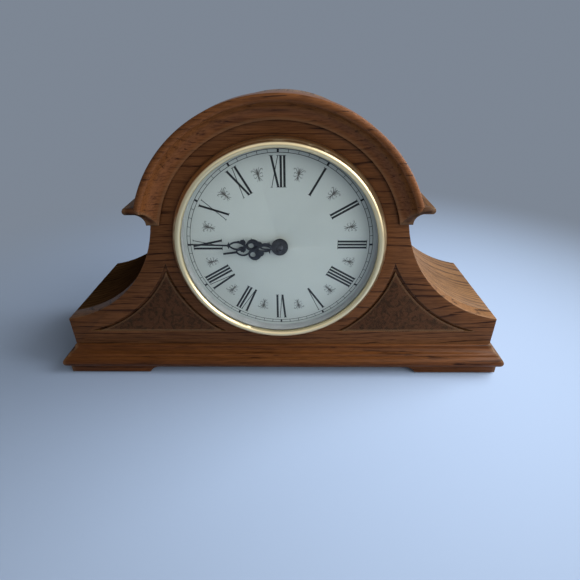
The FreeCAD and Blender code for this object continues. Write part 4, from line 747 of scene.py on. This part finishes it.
scrolls = [scroll(points, weight, side) for points, weight in curls for side in (-1, 1)]
bpy.ops.mesh.primitive_uv_sphere_add(segments=sprig["budSides"], ring_count=sprig["budRings"],
                                     radius=sprig["bud"] * mm)
bud = bpy.context.object
bud.scale = sprig["budShape"]
settle(bud)
oneSprig = joined(scrolls + [bud], "one_sprig")
oneSprig.scale = (1, sprig["flat"], 1)
settle(oneSprig)
sprigs = []
for step in range(12):
    copy = copyOf(oneSprig, place=(0, 0, sprig["radius"] * mm))
    turnAboutDial(copy, (step + 0.5) * math.pi / 6)
    sprigs.append(copy)
remove(oneSprig)
printOnDial(joined(sprigs, "sprigs"), "sprigs", finishes["sprigInk"])
print("dial: sprigs")

handEdges = {"hour_hand": 0.1, "minute_hand": 0.1, "hand_cap": 0.0}
for hand, edge in handEdges.items():
    dress(hand, edge, finishes["handBlack"])


# what stands behind the front: slot, nodes and finish
plain = {
    "brass": (["door_knob", "case_hinge_leaves", "door_hinge_leaves", "hinge_pins", "mounting_nut"],
              "brass"),
    "steel": (["dial_pan", "dial_clips", "strike_plate", "battery_contacts", "speaker_frame"], "steel"),
    "black_plastic": (["movement_case", "movement_cover", "battery_lid", "set_knob", "chime_selector",
                       "volume_slide", "magnet_catch"], "plastic"),
    "gear_plastic": (["hour_wheel", "minute_wheel", "minute_arbor", "set_arbor", "bearing_plate"],
                     "gearPlastic"),
    "laminate": (["circuit_board"], "laminate"),
    "cell_jacket": (["batteries"], "cell"),
    "rubber": (["rubber_washer"], "rubber"),
    "felt": (["felt_pads"], "felt"),
    "cone_paper": (["speaker_cone"], "cone"),
    "ferrite": (["speaker_magnet"], "ferrite"),
    "lead_plastic": (["speaker_lead"], "lead"),
}
fitting = {"edge": 0.2, "smooth": 32,
           "eased": ("door_knob", "set_knob", "battery_lid", "movement_cover", "movement_case")}
for slot, (members, finish) in plain.items():
    for node in members:
        edge = fitting["edge"] if node in fitting["eased"] else 0.0
        dress(node, edge, finishes[finish], fitting["smooth"])
print("inside and back dressed")


# small screws with a cross slot, in mm
screw = {"radius": 1.9, "sides": 24, "proud": 0.5, "ease": 0.25, "segments": 2, "smooth": 30,
         "slotWide": 0.5, "slotLong": 1.3, "deep": 0.3}


def crossScrew():
    bpy.ops.mesh.primitive_cylinder_add(vertices=screw["sides"], radius=screw["radius"] * mm,
                                        depth=screw["proud"] * 2 * mm)
    head = bpy.context.object
    addModifier(head, "BEVEL", width=screw["ease"] * mm, segments=screw["segments"], limit_method="ANGLE")
    for turn in (0, math.pi / 2):
        bpy.ops.mesh.primitive_cube_add(size=1.0, location=(0, 0, screw["proud"] * mm),
                                        rotation=(0, 0, turn))
        slot = bpy.context.object
        slotLong = screw["radius"] * screw["slotLong"]
        slot.scale = (slotLong * mm, screw["slotWide"] * mm, screw["deep"] * 2 * mm)
        settle(slot)
        addModifier(head, "BOOLEAN", operation="DIFFERENCE", object=slot)
        remove(slot)
    workOn(head)
    bpy.ops.object.shade_smooth_by_angle(angle=math.radians(screw["smooth"]))
    return head


# where the screws sit on the pieces they hold, in mm and degrees
seat = {"fromEnd": 4.5, "leafTall": 24.0, "leafThick": 1.0, "leafIn": 4.8, "coverRim": 2.0,
        "archRadius": 105.0, "archAngles": (-72, -36, 0, 36, 72),
        "railUp": 9.0, "railPlaces": (-203.0, -75.0, 75.0, 203.0),
        "speakerCircle": 30.6, "speakerRim": 1.6, "speakerAngles": (45, 135, 225, 315)}
caseLeafLow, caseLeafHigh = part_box("case_hinge_leaves")
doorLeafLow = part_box("door_hinge_leaves")[0]
coverLow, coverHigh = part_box("movement_cover")
frameLow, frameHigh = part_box("back_frame")
speakerLow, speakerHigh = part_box("speaker_frame")
strikeLow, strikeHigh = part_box("strike_plate")
speakerCentre = (speakerLow + speakerHigh) / 2
inset = seat["fromEnd"] * mm
leafTall = seat["leafTall"] * mm
leafFace = caseLeafLow.y + seat["leafThick"] * mm
leafRows = [caseLeafLow.z + inset, caseLeafLow.z + leafTall - inset,
            caseLeafHigh.z - leafTall + inset, caseLeafHigh.z - inset]


def circleSpots(radius, angles):
    turns = [math.radians(angle) for angle in angles]
    return [(radius * mm * math.cos(turn), radius * mm * math.sin(turn)) for turn in turns]


backwards, inwards, upwards = (-math.pi / 2, 0, 0), (math.pi / 2, 0, 0), (0, 0, 0)
archSpots = [(x, frameHigh.y, dialCentre.z + z)
             for z, x in circleSpots(seat["archRadius"], seat["archAngles"])]
railSpots = [(x * mm, frameHigh.y, frameLow.z + seat["railUp"] * mm) for x in seat["railPlaces"]]
speakerSpots = [(speakerCentre.x + x, speakerCentre.y + y, speakerLow.z + seat["speakerRim"] * mm)
                for x, y in circleSpots(seat["speakerCircle"], seat["speakerAngles"])]
coverSpots = [(x, coverLow.y + seat["coverRim"] * mm, z) for x in (coverLow.x + inset, coverHigh.x - inset)
              for z in (coverLow.z + inset, coverHigh.z - inset)]
screwSets = {
    "case_hinge_screws": ("case", "brass", backwards, [
        (caseLeafHigh.x - seat["leafIn"] * mm, leafFace, z) for z in leafRows]),
    "door_hinge_screws": ("door", "brass", backwards, [
        (doorLeafLow.x + seat["leafIn"] * mm, leafFace, z) for z in leafRows]),
    "frame_screws": ("case", "brass", backwards, archSpots + railSpots),
    "cover_screws": ("case", "steel", backwards, coverSpots),
    "speaker_screws": ("case", "steel", upwards, speakerSpots),
    "strike_screw": ("door", "steel", inwards, [
        (strikeHigh.x - inset, strikeLow.y, (strikeLow.z + strikeHigh.z) / 2)]),
}
pattern = crossScrew()
for name, (body, metal, turn, spots) in screwSets.items():
    heads = [copyOf(pattern, place=spot, turn=turn) for spot in spots]
    fit(joined(heads, name), name, body, finishes[metal])
remove(pattern)
print("screws: %d sets" % len(screwSets))


# floor: paper that fades into haze, which lights the object less than it shows
backdrop = {"half": 12.0, "floor": (0.465, 0.585, 0.79, 1), "far": (0.205, 0.240, 0.295, 1),
            "fade": (0.15, 0.76), "spill": 0.3, "room": 0.35,
            "fill": 0.03, "fillColour": (0.82, 0.91, 1.0, 1)}
bpy.ops.mesh.primitive_plane_add(size=backdrop["half"] * 2, location=(0, 0, 0))
floor = bpy.context.object
floor.name = "floor"
material, tree, shader = newMaterial("floor_paper", **{
    "Base Color": backdrop["floor"], "Roughness": 0.8, "Specular IOR Level": 0.1})
reach = addNode(tree, "VectorMath", {0: addNode(tree, "TexCoord").outputs["Object"]}, operation="LENGTH")
rays = addNode(tree, "LightPath").outputs
glow = maths(tree, "ADD", 1.0, maths(tree, "MULTIPLY", rays["Is Diffuse Ray"], backdrop["spill"] - 1.0))
haze = addNode(tree, "Emission", {"Color": backdrop["far"], "Strength": glow})
fade = ramp(tree, reach.outputs["Value"], *backdrop["fade"])
mix = addNode(tree, "MixShader", {0: fade, 1: shader.outputs[0], 2: haze.outputs[0]})
tree.links.new(mix.outputs[0], tree.nodes["Material Output"].inputs["Surface"])
floor.data.materials.append(material)

# the same haze is seen above the floor, a little brighter in what shines
world = bpy.context.scene.world or bpy.data.worlds.new("World")
bpy.context.scene.world = world
world.use_nodes = True
tree = world.node_tree
tree.nodes.clear()
rays = addNode(tree, "LightPath").outputs
seen = maths(tree, "MAXIMUM", rays["Is Camera Ray"], rays["Is Transmission Ray"])
seen = maths(tree, "MAXIMUM", seen, rays["Is Glossy Ray"])
fill = addNode(tree, "Background", {"Color": backdrop["fillColour"], "Strength": backdrop["fill"]})
room = maths(tree, "ADD", 1.0, maths(tree, "MULTIPLY", rays["Is Glossy Ray"], backdrop["room"]))
shown = addNode(tree, "Background", {"Color": backdrop["far"], "Strength": room})
mix = addNode(tree, "MixShader", {0: seen, 1: fill.outputs[0], 2: shown.outputs[0]})
output = addNode(tree, "OutputWorld")
tree.links.new(mix.outputs[0], output.inputs["Surface"])

lamps = {
    "windowRight": dict(place=(1.25, 0.10, 0.82), size=1.4, power=31.0, colour=(0.94, 0.97, 1.0)),
    "sideRight": dict(place=(0.68, -0.50, 0.48), size=1.0, power=5.0, colour=(0.97, 0.98, 1.0)),
    "roomFront": dict(place=(0.4, -2.1, 1.2), size=4.2, power=18.0, colour=(1.0, 0.98, 0.95)),
}
lampAim = Vector((0, 0, 0.13))
for name, lamp in lamps.items():
    bpy.ops.object.light_add(type="AREA", location=lamp["place"])
    light = bpy.context.object
    light.name = name
    light.data.shape = "DISK"
    light.data.size = lamp["size"]
    light.data.energy = lamp["power"]
    light.data.color = lamp["colour"]
    light.rotation_euler = (lampAim - light.location).to_track_quat("-Z", "Y").to_euler()

# metres, mm and radians: tilted down, then turned left and rolled
view = {"place": (0.01603, -0.4248, 0.30521), "down": 0.515024, "left": 0.01785, "roll": -0.00908,
        "lens": 25.43, "sensor": 36.0, "near": 0.01}
bpy.ops.object.camera_add(location=view["place"])
camera = bpy.context.object
turn = Matrix.Rotation(view["left"], 3, "Z") @ Matrix.Rotation(math.pi / 2 - view["down"], 3, "X")
camera.rotation_euler = (turn @ Matrix.Rotation(view["roll"], 3, "Z")).to_euler()
camera.data.lens = view["lens"]
camera.data.sensor_width = view["sensor"]
camera.data.clip_start = view["near"]
bpy.context.scene.camera = camera
bpy.context.scene.view_settings.view_transform = "Standard"

print("scene ready")
